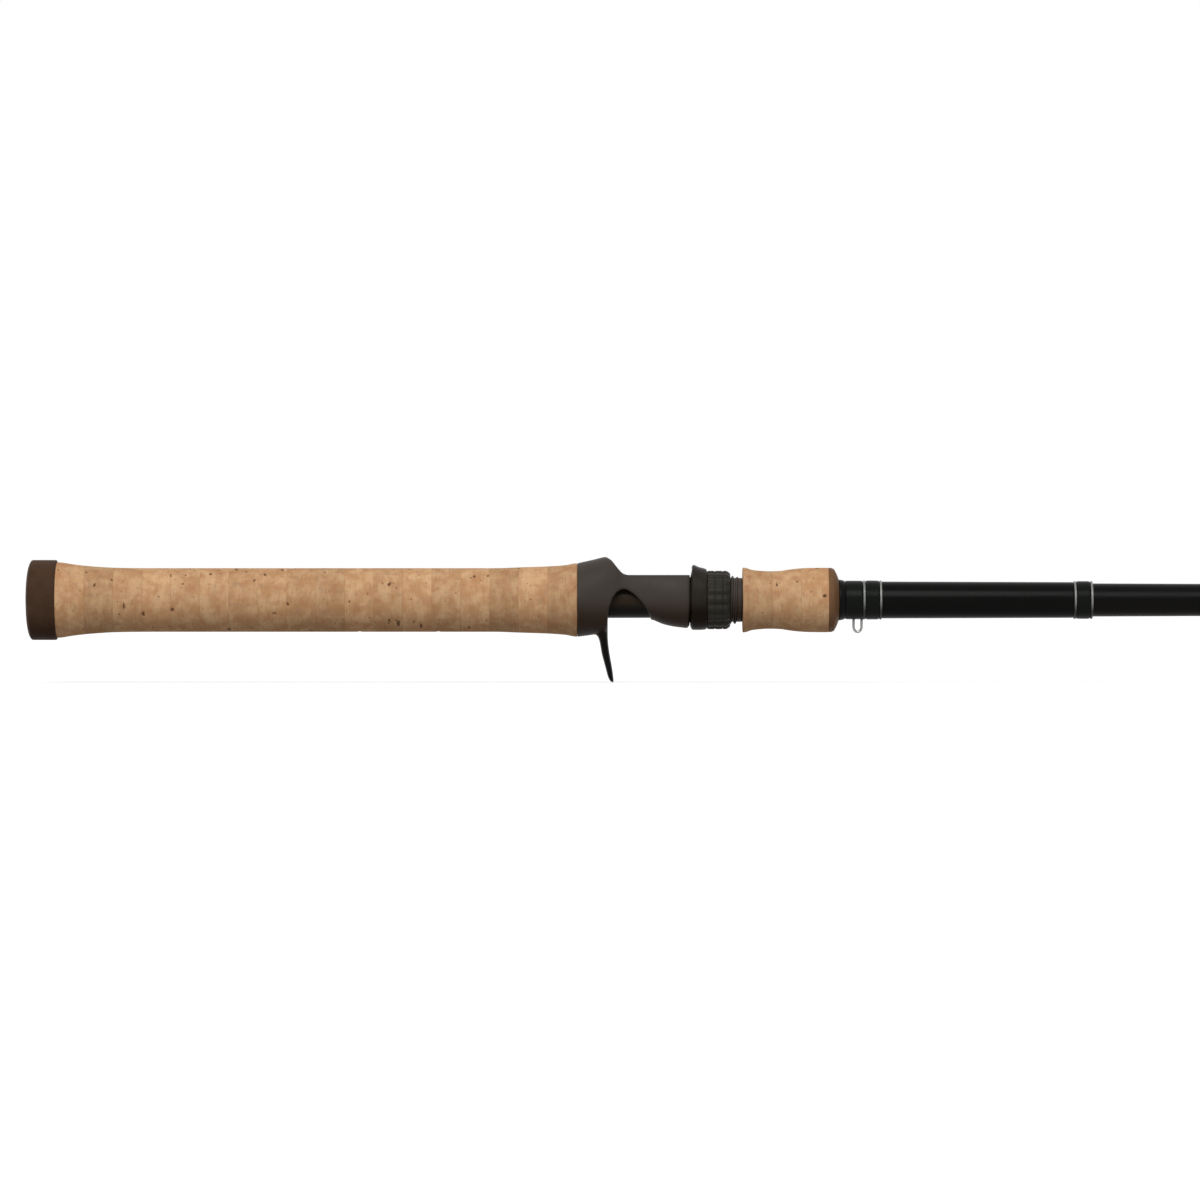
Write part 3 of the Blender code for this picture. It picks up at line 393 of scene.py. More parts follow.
def finish(name, bm, shader, nodes=(), body="rod"):
    # Brings a piece into the scene, in metres, riding on its body.
    bmesh.ops.scale(bm, vec=(metre, metre, metre), verts=bm.verts)
    piece = looseObject(bm, name)
    piece.data.materials.append(shader.material)
    piece.data.shade_smooth()
    piece.data.set_sharp_from_angle(angle=radians(creaseAngle))
    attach(piece, body)
    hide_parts(*nodes)


# Materials

corkLook = {
    "pale": (0.64, 0.40, 0.215), "main": (0.51, 0.278, 0.135), "rosy": (0.46, 0.215, 0.105),
    "grey": (0.42, 0.27, 0.165), "brown": (0.27, 0.115, 0.045), "pit": (0.14, 0.062, 0.028),
    "hollow": (0.035, 0.015, 0.008),
    "ring": 12.7,  # length of one cork ring
    "toneSwing": 0.2, "relief": 0.12,
}


def makeCork(name, start, seed):
    # Rings cut from sheet cork, each with its own tone, grain and pits.
    look = corkLook
    shader = Shader(name, {"Specular IOR Level": 0.12})
    point = shader.point()
    place = (shader.split(point)[0] - start) / look["ring"]
    ring = shader.work("FLOOR", place)
    tone = shader.node("TexWhiteNoise", {"noise_dimensions": "1D"}, {"W": ring + seed})
    shift = shader.node("CombineXYZ", {}, {0: 0.0, 1: ring * 31.7, 2: ring * 17.3})
    cut = shader.vector("ADD", point, shift)

    patches = shader.noise(cut, 0.16, 4.0, 0.6)
    streaks = shader.noise(cut, 0.9, 3.0, 0.6, stretch=(1.6, 0.22, 0.22))
    grain = shader.noise(cut, 2.6, 2.0, 0.7)
    fleck = shader.noise(cut, 0.55, 4.0, 0.75, stretch=(1.4, 0.7, 0.7))
    flecked = shader.ease(fleck, 0.6, 0.74)
    color = shader.mix(shader.ease(patches, 0.35, 0.66), look["main"], look["pale"])
    color = shader.layered(color, [
        (shader.ease(shader.noise(cut, 0.21, 2.0, 0.5), 0.5, 0.72), 0.55, look["rosy"]),
        (shader.ease(shader.noise(cut, 0.34, 2.0, 0.5), 0.56, 0.75), 0.5, look["grey"]),
        (shader.ease(streaks, 0.5, 0.78), 0.38, look["brown"]),
        (flecked, 0.6, look["brown"]),
        (shader.ease(grain, 0.6, 0.8), 0.35, look["brown"]),
    ])
    shade = (tone - 0.5) * look["toneSwing"] + 1.0
    shade = shader.node("CombineColor", {}, {0: shade, 1: shade, 2: shade})
    color = shader.mix(1.0, color, shade, "MULTIPLY")

    # The glue line between two rings, and the pits that are also in the mesh.
    seam = shader.ease(shader.work("ABSOLUTE", shader.work("FRACT", place) - 0.5), 0.492, 0.5)
    pit = shader.node("Attribute", {"attribute_name": "pit"}, output="Fac")
    color = shader.layered(color, [
        (seam, 0.45, look["brown"]),
        (shader.ease(pit + (fleck - 0.5) * 0.5, 0.1, 0.42), 0.8, look["pit"]),
        (shader.ease(pit + (grain - 0.5) * 0.6, 0.45, 0.8), 0.75, look["hollow"]),
    ])
    shader.set({"Base Color": color, "Roughness": shader.ease(grain, 0.3, 0.8, 0.72, 0.92)})
    shader.bump(grain * 0.5 + streaks * 0.3 - flecked * 0.6 - seam * 0.5, look["relief"], 0.6)
    return shader


alongRod, upright = 0, 2  # axes of Object coordinates


def makeMoulded(name, color, accent, roughness, grain, relief, gloss=0.5, metal=0.0, speckle=0.0, paintedLightAndShade=()):
    # Moulded or pressed stuff: a fine texture, with uneven gloss and tone, and zones of painted light and
    # shade.
    shader = Shader(name, {"Specular IOR Level": gloss, "Metallic": metal})
    point = shader.point()
    fine = shader.noise(point, grain, 2.0, 0.6)
    broad = shader.noise(point, 0.12, 3.0, 0.5)
    tint = shader.mix(shader.ease(broad, 0.3, 0.7) * 0.5, color, accent)
    for axis, clear, full, other in paintedLightAndShade:
        # Painted light or shade: the tone goes over into another one between two places on an axis.
        tint = shader.mix(shader.ease(shader.split(point)[axis], clear, full), tint, other)
    if speckle:
        tint = shader.mix(shader.ease(fine, 0.55, 0.7) * speckle, tint, accent)
    shader.set({"Base Color": tint, "Roughness": shader.ease(broad, 0.25, 0.75, *roughness)})
    shader.bump(fine, relief, 0.7)
    return shader


threadShape = {
    "pitch": 0.3, "depth": 0.035, "sides": 64,
    "twists": 60.0,  # slanting strands on one turn
    "relief": 0.012,
}


def makeThread(name, color, accent, pitch, constants, low=None):
    # Wound thread: each turn's twist shows as a fine slant. Its colour can be painted darker low down, as
    # shade.
    shader = Shader(name, constants)
    point = shader.point()
    x, y, z = shader.split(point)
    turn = x * (tau / pitch)
    twist = shader.work("SINE", shader.work("ARCTAN2", y, z) * threadShape["twists"] + turn)
    lay = shader.work("SINE", turn)
    uneven = shader.noise(point, 0.8, 2.0, 0.5)
    tint = shader.mix(shader.ease(lay * 0.6 + uneven, -0.2, 1.2), color, accent)
    if low:
        # Painted shade: the colour goes over to the low one below the middle.
        tint = shader.mix(shader.ease(z, 0.0, -5.5), tint, low)
    shader.set({"Base Color": tint})
    shader.bump(twist * 0.25 + lay, threadShape["relief"], 0.8)
    return shader


cork = {
    "rear": makeCork("corkRear", span("rear_grip")[0], 3.0),
    "fore": makeCork("corkFore", span("fore_grip")[0], 41.0),
}
# Painted shade: the cap's colour goes darker and browner low down.
capRubber = makeMoulded(
    "capRubber", (0.072, 0.040, 0.024), (0.045, 0.022, 0.012), (0.5, 0.6), 1.6, 0.05, gloss=0.03,
    speckle=0.45, paintedLightAndShade=[(upright, -9.0, -17.0, (0.032, 0.014, 0.007))],
)
# Painted shade: the body's colour goes darker and browner low down, and near black further down, on the
# trigger.
seatPlastic = makeMoulded(
    "seatPlastic", (0.062, 0.051, 0.044), (0.053, 0.044, 0.039), (0.36, 0.46), 3.5, 0.02, gloss=0.05,
    paintedLightAndShade=[(upright, 2.5, -9.0, (0.036, 0.022, 0.0145)), (upright, -11.5, -18.0, (0.005, 0.004, 0.0035))],
)
# Painted shade: the hood's colour goes darker and browner low down.
hoodPlastic = makeMoulded(
    "hoodPlastic", (0.026, 0.022, 0.018), (0.019, 0.016, 0.013), (0.34, 0.42), 3.0, 0.02, gloss=0.05,
    paintedLightAndShade=[(upright, 1.5, -6.0, (0.008, 0.0045, 0.002))],
)
nutPlastic = makeMoulded(
    "nutPlastic", (0.032, 0.029, 0.023), (0.022, 0.020, 0.016), (0.34, 0.44), 3.0, 0.02, gloss=0.06,
)
# Painted light: the blank is tinted brown where the seat's window shows it, and its colour goes near black
# again below its middle, as painted shade.
blankGloss = makeMoulded(
    "blankGloss", (0.0015, 0.0015, 0.0015), (0.0022, 0.0022, 0.0022), (0.30, 0.35), 1.2, 0.006, gloss=0.062,
    paintedLightAndShade=[(alongRod, 300.0, 285.0, (0.032, 0.021, 0.012)), (upright, 0.5, -5.0, (0.004, 0.003, 0.002))],
)
endRing = makeMoulded(
    "endRing", (0.19, 0.10, 0.05), (0.13, 0.065, 0.03), (0.45, 0.6), 2.4, 0.04, gloss=0.06, speckle=0.5,
)
checkBlack = makeMoulded(
    "checkBlack", (0.004, 0.004, 0.004), (0.006, 0.005, 0.005), (0.28, 0.36), 2.0, 0.01, gloss=0.06,
)
wrapThread = makeThread(
    "wrapThread", (0.003, 0.004, 0.003), (0.006, 0.008, 0.005), threadShape["pitch"],
    {"Coat Weight": 0.06, "Coat Roughness": 0.12, "Roughness": 0.36, "Specular IOR Level": 0.035},
)
# The silver bands are painted darker low down, as shade on their reflection.
silverThread = makeThread(
    "silverThread", (0.25, 0.255, 0.245), (0.42, 0.42, 0.40), 0.23, {"Metallic": 0.8, "Roughness": 0.42},
    (0.06, 0.06, 0.055),
)
labelGloss = makeMoulded(
    "labelGloss", (0.0018, 0.0021, 0.0016), (0.003, 0.0035, 0.0025), (0.24, 0.29), 1.0, 0.006, gloss=0.052,
)
guideSteel = makeMoulded(
    "guideSteel", (0.33, 0.33, 0.34), (0.27, 0.27, 0.28), (0.22, 0.32), 5.0, 0.01, metal=1.0,
)
keeperSteel = makeMoulded(
    "keeperSteel", (0.31, 0.31, 0.30), (0.25, 0.25, 0.24), (0.25, 0.35), 5.0, 0.01, metal=1.0,
)
guideCeramic = makeMoulded(
    "guideCeramic", (0.02, 0.02, 0.022), (0.028, 0.028, 0.03), (0.1, 0.16), 1.0, 0.004, gloss=0.6,
)
arborFibre = makeMoulded(
    "arborFibre", (0.03, 0.026, 0.023), (0.02, 0.018, 0.016), (0.85, 0.95), 1.8, 0.12, gloss=0.05,
    speckle=0.5,
)
print("materials made")


# Butt cap and cork grips

capShape = {"dome": 2.8, "domeBend": 1.15, "flat": 5.0, "radius": 17.6, "endWall": 4.0, "lip": 0.5}


def makeButtCap():
    # Domed behind, and hollow where the blank goes in.
    start, end = snug("butt_cap", 2 * rod["glueGap"])
    radius, lip, wall = capShape["radius"], capShape["lip"], capShape["endWall"]
    outline = [(start, 0.0)]
    for sine, cosine in arc(24):
        rise = capShape["dome"] * (1 - cosine) ** capShape["domeBend"]
        outline.append((start + rise, blend(capShape["flat"], radius, sine)))
    for sine, cosine in arc(6):
        outline.append((end - lip * (1 - sine), radius - lip * (1 - cosine)))
    outline += [(end, fitRadius(end)), (wall, fitRadius(wall)), (wall, 0.0)]
    finish("buttCap", turned(outline, closed=False), capRubber, ["butt_cap"])


ringLap = 0.85  # how far the end ring reaches back into the fore grip
gripShape = {
    "rear": {
        "node": "rear_grip",
        "drawnOver": (0.0, 0.27),  # over the glue gaps at its rear and front end
        # share of the length, radius
        "rows": [
            (0.0, 16.7), (0.012, 16.43), (0.026, 15.89), (0.048, 15.24), (0.074, 14.7), (0.12, 14.14),
            (0.18, 14.0), (0.84, 14.0), (0.893, 14.4), (0.94, 14.75), (0.978, 15.36), (0.994, 16.05),
            (1.0, 16.15),
        ],
        "pits": 560,
        "seed": 11,
    },
    "fore": {
        "node": "fore_grip",
        "drawnOver": (0.27, 0.13 - ringLap),
        "rows": [
            (0.0, 14.28), (0.035, 14.17), (0.1, 13.35), (0.2, 12.87), (0.31, 12.65), (0.44, 12.81),
            (0.54, 13.36), (0.63, 13.77), (0.77, 14.11), (1.0, 14.2),
        ],
        "pits": 95,
        "seed": 23,
    },
}
corkMesh = {
    "step": 0.5, "sides": 186, "endStep": 0.25, "endDrop": 0.2,
    "skin": 11.0,  # a grip's outside is further from the axis than this
    "seamDepth": 0.05, "seamHalf": 0.14,
    "seamClear": 0.224,  # no other points nearer to a glue line
}
pitShape = {
    "margin": 0.8,  # clear at the grip's ends
    "least": 0.16, "growth": 0.8,
    "longer": [1.1, 1.6, 2.8],
    "longerOdds": [0.45, 0.35, 0.2],
    "slant": 0.3, "deep": (0.15, 0.5), "dark": (0.3, 0.9),
}


def addPits(bm, count, seed, start, end):
    # Lenticels and crumbled spots, sunk into the cork and marked for its colour.
    layer = bm.verts.layers.float.new("pit")
    skin = [vert for vert in bm.verts if hypot(vert.co.y, vert.co.z) > corkMesh["skin"]]
    place = np.array([(v.co.x, atan2(v.co.y, v.co.z), hypot(v.co.y, v.co.z)) for v in skin])
    depth = np.zeros(len(skin))
    mark = np.zeros(len(skin))
    draw = np.random.default_rng(seed)
    for _ in range(count):
        x = draw.uniform(start + pitShape["margin"], end - pitShape["margin"])
        angle = draw.uniform(-pi, pi)
        size = pitShape["least"] + pitShape["growth"] * draw.power(0.2)
        longer = draw.choice(pitShape["longer"], p=pitShape["longerOdds"])
        turn = draw.normal(0.0, pitShape["slant"])
        wave = draw.uniform(0.0, tau, 3)
        sunk = draw.uniform(*pitShape["deep"]) * min(1.0, size)
        near = np.abs(place[:, 0] - x) < 3 * size + 1
        along = place[near, 0] - x
        around = (place[near, 1] - angle + pi) % tau - pi
        around = around * place[near, 2]
        first = (along * cos(turn) + around * sin(turn)) / size
        second = (around * cos(turn) - along * sin(turn)) / (size * longer)
        heading = np.arctan2(first, second)
        ragged = 1 + 0.12 * np.sin(2 * heading + wave[0]) + 0.09 * np.sin(3 * heading + wave[1])
        ragged += 0.07 * np.sin(7 * heading + wave[2])
        bowl = np.clip(1.2 - np.hypot(first, second) * ragged, 0.0, 1.0)
        depth[near] = np.maximum(depth[near], sunk * bowl)
        mark[near] = np.maximum(mark[near], bowl * draw.uniform(*pitShape["dark"]))
    for vert, sink, dark, radius in zip(skin, depth, mark, place[:, 2]):
        vert[layer] = dark
        vert.co.yz = vert.co.yz * ((radius - sink) / radius)


def makeGrip(which):
    shape, ring, drop = gripShape[which], corkLook["ring"], corkMesh["endDrop"]
    first, last = span(shape["node"])
    start, end = first - shape["drawnOver"][0], last + shape["drawnOver"][1]
    radiusAt = smoothCurve(shape["rows"])
    seams = [first + ring * i for i in range(1, round((end - start) / ring))]
    places = [
        (x, 0.0) for x in spread(start + corkMesh["endStep"], end - corkMesh["endStep"], corkMesh["step"])
        if all(abs(x - seam) > corkMesh["seamClear"] for seam in seams)
    ]
    for seam in seams:
        for away, sink in ((-1, 0.0), (0, corkMesh["seamDepth"]), (1, 0.0)):
            places.append((seam + away * corkMesh["seamHalf"], sink))
    outline = [(start, radiusAt(0.0) - drop)]
    outline += [(x, radiusAt((x - start) / (end - start)) - sink) for x, sink in sorted(places)]
    bm = sleeve(outline + [(end, radiusAt(1.0) - drop)], start, end, corkMesh["sides"])
    addPits(bm, shape["pits"], shape["seed"], start, end)
    finish(which + "Cork", bm, cork[which], [shape["node"]])


# Reel seat

seat = {
    "boreRadius": 8.979, "deck": 10.999,
    "deckSpare": 4.0,  # stands over the deck until the scoop is cut
    "hoodHeight": 18.949, "hoodLip": 254.9, "hoodSlope": 10.1, "noseStart": 268.5,
    "noseEnd": 279.0, "noseTaper": 2.5, "footRoom": 4.75, "pocketHalf": 8.4, "pocketDepth": 8.0,
    "pocketTaper": 1.2, "barrelStart": 291.5, "barrelEnd": 314.8, "barrelRadius": 10.199,
    "barrelBuried": 8.4,  # runs on inside the body
    "barrelEdge": 0.4,
    "slideBore": 10.699,  # the hole of what moves on the barrel
    "keywayHalf": 1.6, "keywayDepth": 0.6,
    "cutLow": -60.0,  # cutters end here, clear of the seat
    "cutHigh": 40.0, "voxel": 0.26, "softness": 10, "keep": 0.42,
    # more rounds of smoothing: how many, where along, how high, how far from the middle
    "rounding": [
        (34, (254.0, 279.0), (-60.0, 6.6), 4.0),
        (24, (253.0, 290.5), (9.0, 17.6)),
        (14, (245.0, 257.5), (-18.0, -8.5)),
    ],
}
window = {
    "start": 255.5, "end": 274.7, "top": 4.8, "floor": -9.599, "crest": 0.37, "sweep": 1.45,
}
trigger = {
    "drop": 36.2, "root": 13.8, "thickness": 3.5, "width": 9.4, "lean": 2.6, "round": 0.8,
    "sides": 32,
}
screw = {
    "pitch": 2.0, "root": 9.75, "crest": 10.6, "sunk": 0.3, "lead": 0.9, "tail": 0.6,
    "steps": 48,
    "fade": 8.0,  # the first and last eighth rise and fall
    # distance from the rib's middle, share of its height
    "rib": [(0.1, 1.0), (0.28, 0.95), (0.42, 0.75), (0.8, 0.0)],
}


def ovalSection(x, top, bottom, half, power, count=96):
    points = []
    for sine, cosine in arc(count, tau)[:-1]:
        rise = signedPower(sine, 2 / power)
        side = half * signedPower(cosine, 2 / power)
        points.append(Vector((x, side, rise * (top if rise > 0 else bottom))))
    return points


def archSection(x, floor, height, half, power=3.0, count=24):
    points = []
    for sine, cosine in arc(count, pi):
        side = half * signedPower(cosine, 2 / power)
        points.append(Vector((x, side, floor + height * sine ** (2 / power))))
    return points


def seatBodyLoft():
    start = span("reel_seat_body")[0]
    top, deck = seat["hoodHeight"], seat["deck"] + seat["deckSpare"]
    read = smoothCurve([
        # station, height above, depth below, half width, squareness
        (start, 16.2, 16.2, 16.2, 2.0),
        (246.2, 17.1, 15.7, 15.75, 2.1),
        (250.1, 18.0, 15.13, 15.1, 2.25),
        (254.6, top, 14.5, 14.2, 2.4),
        (256.6, top, 14.0, 13.65, 2.5),
        (258.6, top, 13.2, 13.05, 2.55),
        (262.35, deck, 11.2, 12.1, 2.6),
        (266.1, deck, 9.4, 11.5, 2.5),
        (271.2, deck, 8.7, 11.2, 2.35),
        (274.7, deck, 8.7, 11.2, 2.25),
        (276.4, deck, 9.2, 11.3, 2.2),
        (278.0, deck, 9.9, 11.5, 2.2),
        (280.1, deck, 10.7, 11.8, 2.2),
        (284.8, deck, 11.75, 12.3, 2.2),
        (288.5, deck, 12.2, 12.6, 2.2),
        (290.2, deck, 12.4, 12.6, 2.2),
        (290.9, deck, 12.0, 12.4, 2.2),
        (seat["barrelStart"], deck, 11.0, 11.7, 2.2),
    ])
    return lofted([ovalSection(x, *read(x)) for x in spread(start, seat["barrelStart"], 0.5)])


def triggerBlade():
    # The root spreads into the body, and the blade thins and leans to its tip.
    half, width, sides = trigger["thickness"] / 2, trigger["width"] / 2, trigger["sides"]
    read = smoothCurve([
        # share of the drop, half thickness, width, lean
        (-0.12, 2.3, 1.1, 0.0), (0.0, 2.1, 1.08, 0.0), (0.06, 1.5, 1.02, 0.0), (0.14, 1.15, 0.98, 0.02),
        (0.26, 1.02, 0.94, 0.1), (0.42, 0.98, 0.92, 0.28), (0.58, 0.9, 0.9, 0.52), (0.74, 0.8, 0.86, 0.76),
        (0.88, 0.68, 0.78, 0.92), (0.96, 0.5, 0.6, 0.99), (1.0, 0.22, 0.34, 1.0),
    ])
    sections = []
    for share in spread(-0.12, 0.9, 0.03) + spread(0.92, 1.0, 0.01):
        thick, wide, lean = read(share)
        middle = window["start"] - half * thick + trigger["lean"] * lean
        low = -blend(trigger["root"], trigger["drop"], share)
        section = []
        for sine, cosine in arc(sides, tau)[:-1]:
            along = half * thick * signedPower(cosine, trigger["round"])
            aside = width * wide * signedPower(sine, trigger["round"])
            section.append(Vector((middle + along, aside, low)))
        sections.append(section)
    return lofted(sections)


def windowOutline():
    start, end, floor, top = (window[key] for key in ("start", "end", "floor", "top"))
    crest = blend(start, end, window["crest"])
    power = 2 / window["sweep"]
    points = [(start, seat["cutLow"])]
    for sine, cosine in arc(18):
        points.append((blend(crest, start, cosine), blend(floor, top, sine)))
    for sine, cosine in arc(18)[1:]:
        points.append((blend(crest, end, sine**power), blend(floor, top, max(cosine, 0.0) ** power)))
    return points + [(end, seat["cutLow"])]


def scoopOutline():
    # Over the deck, and up the curved slope of the fixed hood.
    lip, slope, deck, high = seat["hoodLip"], seat["hoodSlope"], seat["deck"], seat["cutHigh"]
    read = smoothCurve([
        (0.0, 1.0), (0.25, 0.78), (0.38, 0.56), (0.52, 0.36), (0.66, 0.2), (0.82, 0.06), (1.0, 0.0),
    ])
    points = [(lip, high)]
    for share in spread(0.0, 1.0, 0.05):
        points.append((lip + slope * share, blend(deck, seat["hoodHeight"], read(share))))
    end = seat["barrelStart"] + 0.3
    return points + [(end, deck), (end, high)]


def barrelThread():
    # One rounded rib wound along the barrel, its ends sunk into the wall.
    root, crest = screw["root"] - screw["sunk"], screw["crest"]
    start, end = seat["barrelStart"] + screw["lead"], seat["barrelEnd"] - screw["tail"]
    turns = (end - start) / screw["pitch"]
    steps = int(turns * screw["steps"])
    rib = [(-away, height) for away, height in reversed(screw["rib"])] + screw["rib"]
    sections = []
    for i in range(steps + 1):
        share = i / steps
        angle = tau * turns * share
        rise = max(0.1, min(1.0, screw["fade"] * share, screw["fade"] * (1 - share)))
        section = []
        for away, height in rib:
            radius = blend(root, blend(root, crest, rise), height)
            place = blend(start, end, share) + away
            section.append(aroundRod(place, radius, angle))
        sections.append(section)
    return lofted(sections)


def keyway(end):
    # The slot along the barrel's underside.
    radius, rear = seat["barrelRadius"], seat["barrelStart"] - 0.2
    top, low = seat["keywayDepth"] - radius, -radius - 1.5
    return prism([(rear, top), (end + 1, top), (end + 1, low), (rear, low)], seat["keywayHalf"])


def makeReelSeat():
    lip, slope, room, deck = seat["hoodLip"], seat["hoodSlope"], seat["footRoom"], seat["deck"]
    half, taper = seat["pocketHalf"], seat["pocketTaper"]
    start, end = span("reel_seat_body")
    pocket = lofted([
        archSection(lip - seat["pocketDepth"], deck, 0.62 * room, half - taper),
        archSection(lip, deck, room, half),
        archSection(lip + slope, deck, room, half + taper / 3),
    ])
    first, last, edge = seat["barrelStart"], seat["barrelEnd"], seat["barrelEdge"]
    rear, radius, root = first - seat["barrelBuried"], seat["barrelRadius"], screw["root"]
    barrel = turned([
        (rear, 0.0), (rear, radius), (first, radius), (first + edge, root),
        (last - edge, root), (last, root - edge), (last, 0.0),
    ], closed=False)
    # Ahead of the window the body's nose closes in on the blank.
    noseStart, noseEnd = seat["noseStart"], seat["noseEnd"]
    wide, close = seat["boreRadius"], fitRadius(window["end"]) + hairline
    bore = turned([
        (start - 1, 0.0), (start - 1, wide), (noseStart - seat["noseTaper"], wide), (noseStart, close),
        (noseEnd, close), (noseEnd, wide), (end + 1, wide), (end + 1, 0.0),
    ], closed=False)
    bm = carved(seatBodyLoft(), [
        ("DIFFERENCE", prism(windowOutline(), seat["cutHigh"])),
        ("DIFFERENCE", prism(scoopOutline(), seat["cutHigh"])),
        ("DIFFERENCE", pocket),
        ("UNION", triggerBlade()),
        ("UNION", barrel),
        ("DIFFERENCE", bore),
        ("DIFFERENCE", keyway(end)),
    ], seat["voxel"], seat["softness"])
    for region in seat["rounding"]:
        soften(bm, *region)
    finish("seatBody", carved(bm, [], keep=seat["keep"]), seatPlastic, ["reel_seat_body"])
    thread = carved(barrelThread(), [("DIFFERENCE", keyway(end))])
    bmesh.ops.remove_doubles(thread, verts=thread.verts, dist=2e-6)
    bmesh.ops.holes_fill(thread, edges=thread.edges)
    finish("barrelThread", thread, seatPlastic)


arborShape = {"radius": 8.829, "wall": 0.06, "edge": 0.3}


def makeArbors():
    # The front one starts where the seat's nose ends.
    radius, wall, edge = (arborShape[key] for key in ("radius", "wall", "edge"))
    for node, name in (("rear_arbor", "rearArbor"), ("front_arbor", "frontArbor")):
        start, end = span(node)
        if node == "front_arbor":
            start = seat["noseEnd"] + 0.1
        outline = [
            (start, fitRadius(start) + wall), (start + edge, radius), (end - edge, radius),
            (end, radius - edge),
        ]
        finish(name, sleeve(outline, start, end, rod["sides"]), arborFibre, [node])


hood = {
    "top": 15.499, "around": 13.199, "shoulder": 13.799, "nut": 12.999, "edge": 0.8,
    "squareness": 2.45,
    # forward from the rear end, drop at the top, drop round the rest
    "rearFace": [(0.0, 3.4, 1.7), (0.35, 1.9, 0.8), (0.8, 0.6, 0.2), (1.3, 0.0, 0.0)],
    # forward from the rear end, height over the barrel, half width
    "pocket": [(-1.0, 4.7, 8.4), (2.9, 4.34, 8.04), (5.8, 3.8, 7.5)],
    "pocketSunk": 0.5, "tabHalf": 1.3, "tabClear": 0.3, "tabLow": -14.0, "voxel": 0.2,
    "softness": 6, "keep": 0.6,
}


def makeMovableHood():
    # A collar with a lip over the reel's foot, and a tab that runs in the keyway.
    start, end = span("movable_hood")
    top, around, shoulder, nut, edge = (hood[key] for key in ("top", "around", "shoulder", "nut", "edge"))
    rows = [(start + x, top - above, around - rest) for x, above, rest in hood["rearFace"]]
    rows += [(blend(start, end, 0.5), blend(shoulder, top, 0.47), around), (end - edge, shoulder, nut)]
    for forward, inset in ((0.3 * edge, 0.3 * edge), (0.0, edge)):
        rows.append((end - forward, shoulder - inset, nut - inset))
    read = smoothCurve(rows)
    sections = []
    for x in spread(start, end, 0.25):
        high, low = read(x)
        sections.append(ovalSection(x, high, low, low, hood["squareness"]))
    hole = seat["slideBore"]
    bore = turned([(start - 1, 0.0), (start - 1, hole), (end + 1, hole), (end + 1, 0.0)], closed=False)
    tabTop, low = seat["keywayDepth"] - seat["barrelRadius"] - hood["tabClear"], hood["tabLow"]
    tab = prism([(start - 2, tabTop), (end + 2, tabTop), (end + 2, low), (start - 2, low)], hood["tabHalf"])
    bore = carved(bore, [("DIFFERENCE", tab)])
    floor = seat["barrelRadius"] - hood["pocketSunk"]
    pocket = lofted([archSection(start + x, floor, height, half) for x, height, half in hood["pocket"]])
    cuts = [("DIFFERENCE", bore), ("DIFFERENCE", pocket)]
    bm = carved(lofted(sections), cuts, hood["voxel"], hood["softness"], hood["keep"])
    finish("movableHood", bm, hoodPlastic, ["movable_hood"], body="hood")


nutShape = {
    "radius": 12.999,
    "clear": 0.06,  # behind it, to the hood
    "flutes": 18,
    "points": 12,  # to a flute
    "depth": 0.6, "sharpness": 1.6, "edge": 1.0, "step": 0.18, "ringDepth": 0.32,
    "ringHalf": 0.5, "frontTaper": 1.1, "frontLength": 2.0, "mouth": 0.3,
}


def fluteSection(x, radius, depth):
    count = nutShape["flutes"] * nutShape["points"]
    points = []
    for i in range(count):
        angle = tau * i / count
        groove = 0.5 + 0.5 * cos(angle * nutShape["flutes"] + pi)
        cut = radius - depth * groove ** nutShape["sharpness"]
        points.append(Vector((x, cut * cos(angle), cut * sin(angle))))
    return points


def makeLockNut():
    start, end = span("movable_hood")[1] + nutShape["clear"], span("lock_nut")[1]
    radius, edge, depth, mouth = (nutShape[key] for key in ("radius", "edge", "depth", "mouth"))
    bore = seat["slideBore"]
    rows = [(start, bore + mouth), (start, bore + 0.55)]
    rows += [(start + edge * (1 - cosine), radius - depth * (1 - sine)) for sine, cosine in arc(6)]
    flat = spread(start + 1.15 * edge, blend(start, end, 0.5) - 0.15, nutShape["step"])
    rows += [(x, radius) for x in flat]
    rows += [(start + end - x, r) for x, r in reversed(rows)]
    sections = []
    for x, r in rows:
        away = min(x - start, end - x)
        if r > bore + 1.1:
            # The front end narrows towards the barrel.
            r -= nutShape["frontTaper"] * max(0.0, 1 - (end - x) / nutShape["frontLength"]) ** 1.2
        share = min(1.0, max(0.0, away / edge)) ** 0.7
        far = abs(away - (end - start) / 3) / nutShape["ringHalf"]
        ring = nutShape["ringDepth"] * cos(pi / 2 * far) ** 2 if far < 1 else 0.0
        sections.append(fluteSection(x, r - ring, depth * share))
    sections += [fluteSection(end - mouth, bore, 0.0), fluteSection(start + mouth, bore, 0.0)]
    finish("lockNut", lofted(sections, closed=True), nutPlastic, ["lock_nut"], body="nut")


# What closes the fore grip, and the wraps ahead of it

sleeves = {
    # share of the length, wall
    "check": [
        (0.0, 0.95), (0.08, 1.12), (0.2, 1.16), (0.45, 1.08), (0.7, 0.9), (0.9, 0.72), (1.0, 0.45),
    ],
    "label": [(0.0, 0.3), (0.003, 0.38), (0.01, 0.4), (0.99, 0.4), (0.997, 0.38), (1.0, 0.3)],
    "ringInner": 1.4,
    # share of the length, radius
    "ring": [(0.0, 14.0), (0.05, 14.2), (0.46, 13.83), (0.75, 11.94), (0.93, 10.0)],
}
wraps = [
    # node, name, wall
    ("keeper_wrap", "keeperWrap", 0.75), ("rear_trim_wrap", "trimWrapRear", 0.85),
    ("front_trim_wrap", "trimWrapFront", 0.85),
]
silverBand = {"count": 4, "turns": 3, "wall": 0.74, "bead": 0.16, "step": 0.035}


def roundedSleeve(node, walls):
    start, end = snug(node)
    places = [(blend(start, end, share), wall) for share, wall in walls]
    return sleeve([(x, fitRadius(x) + wall) for x, wall in places], start, end)


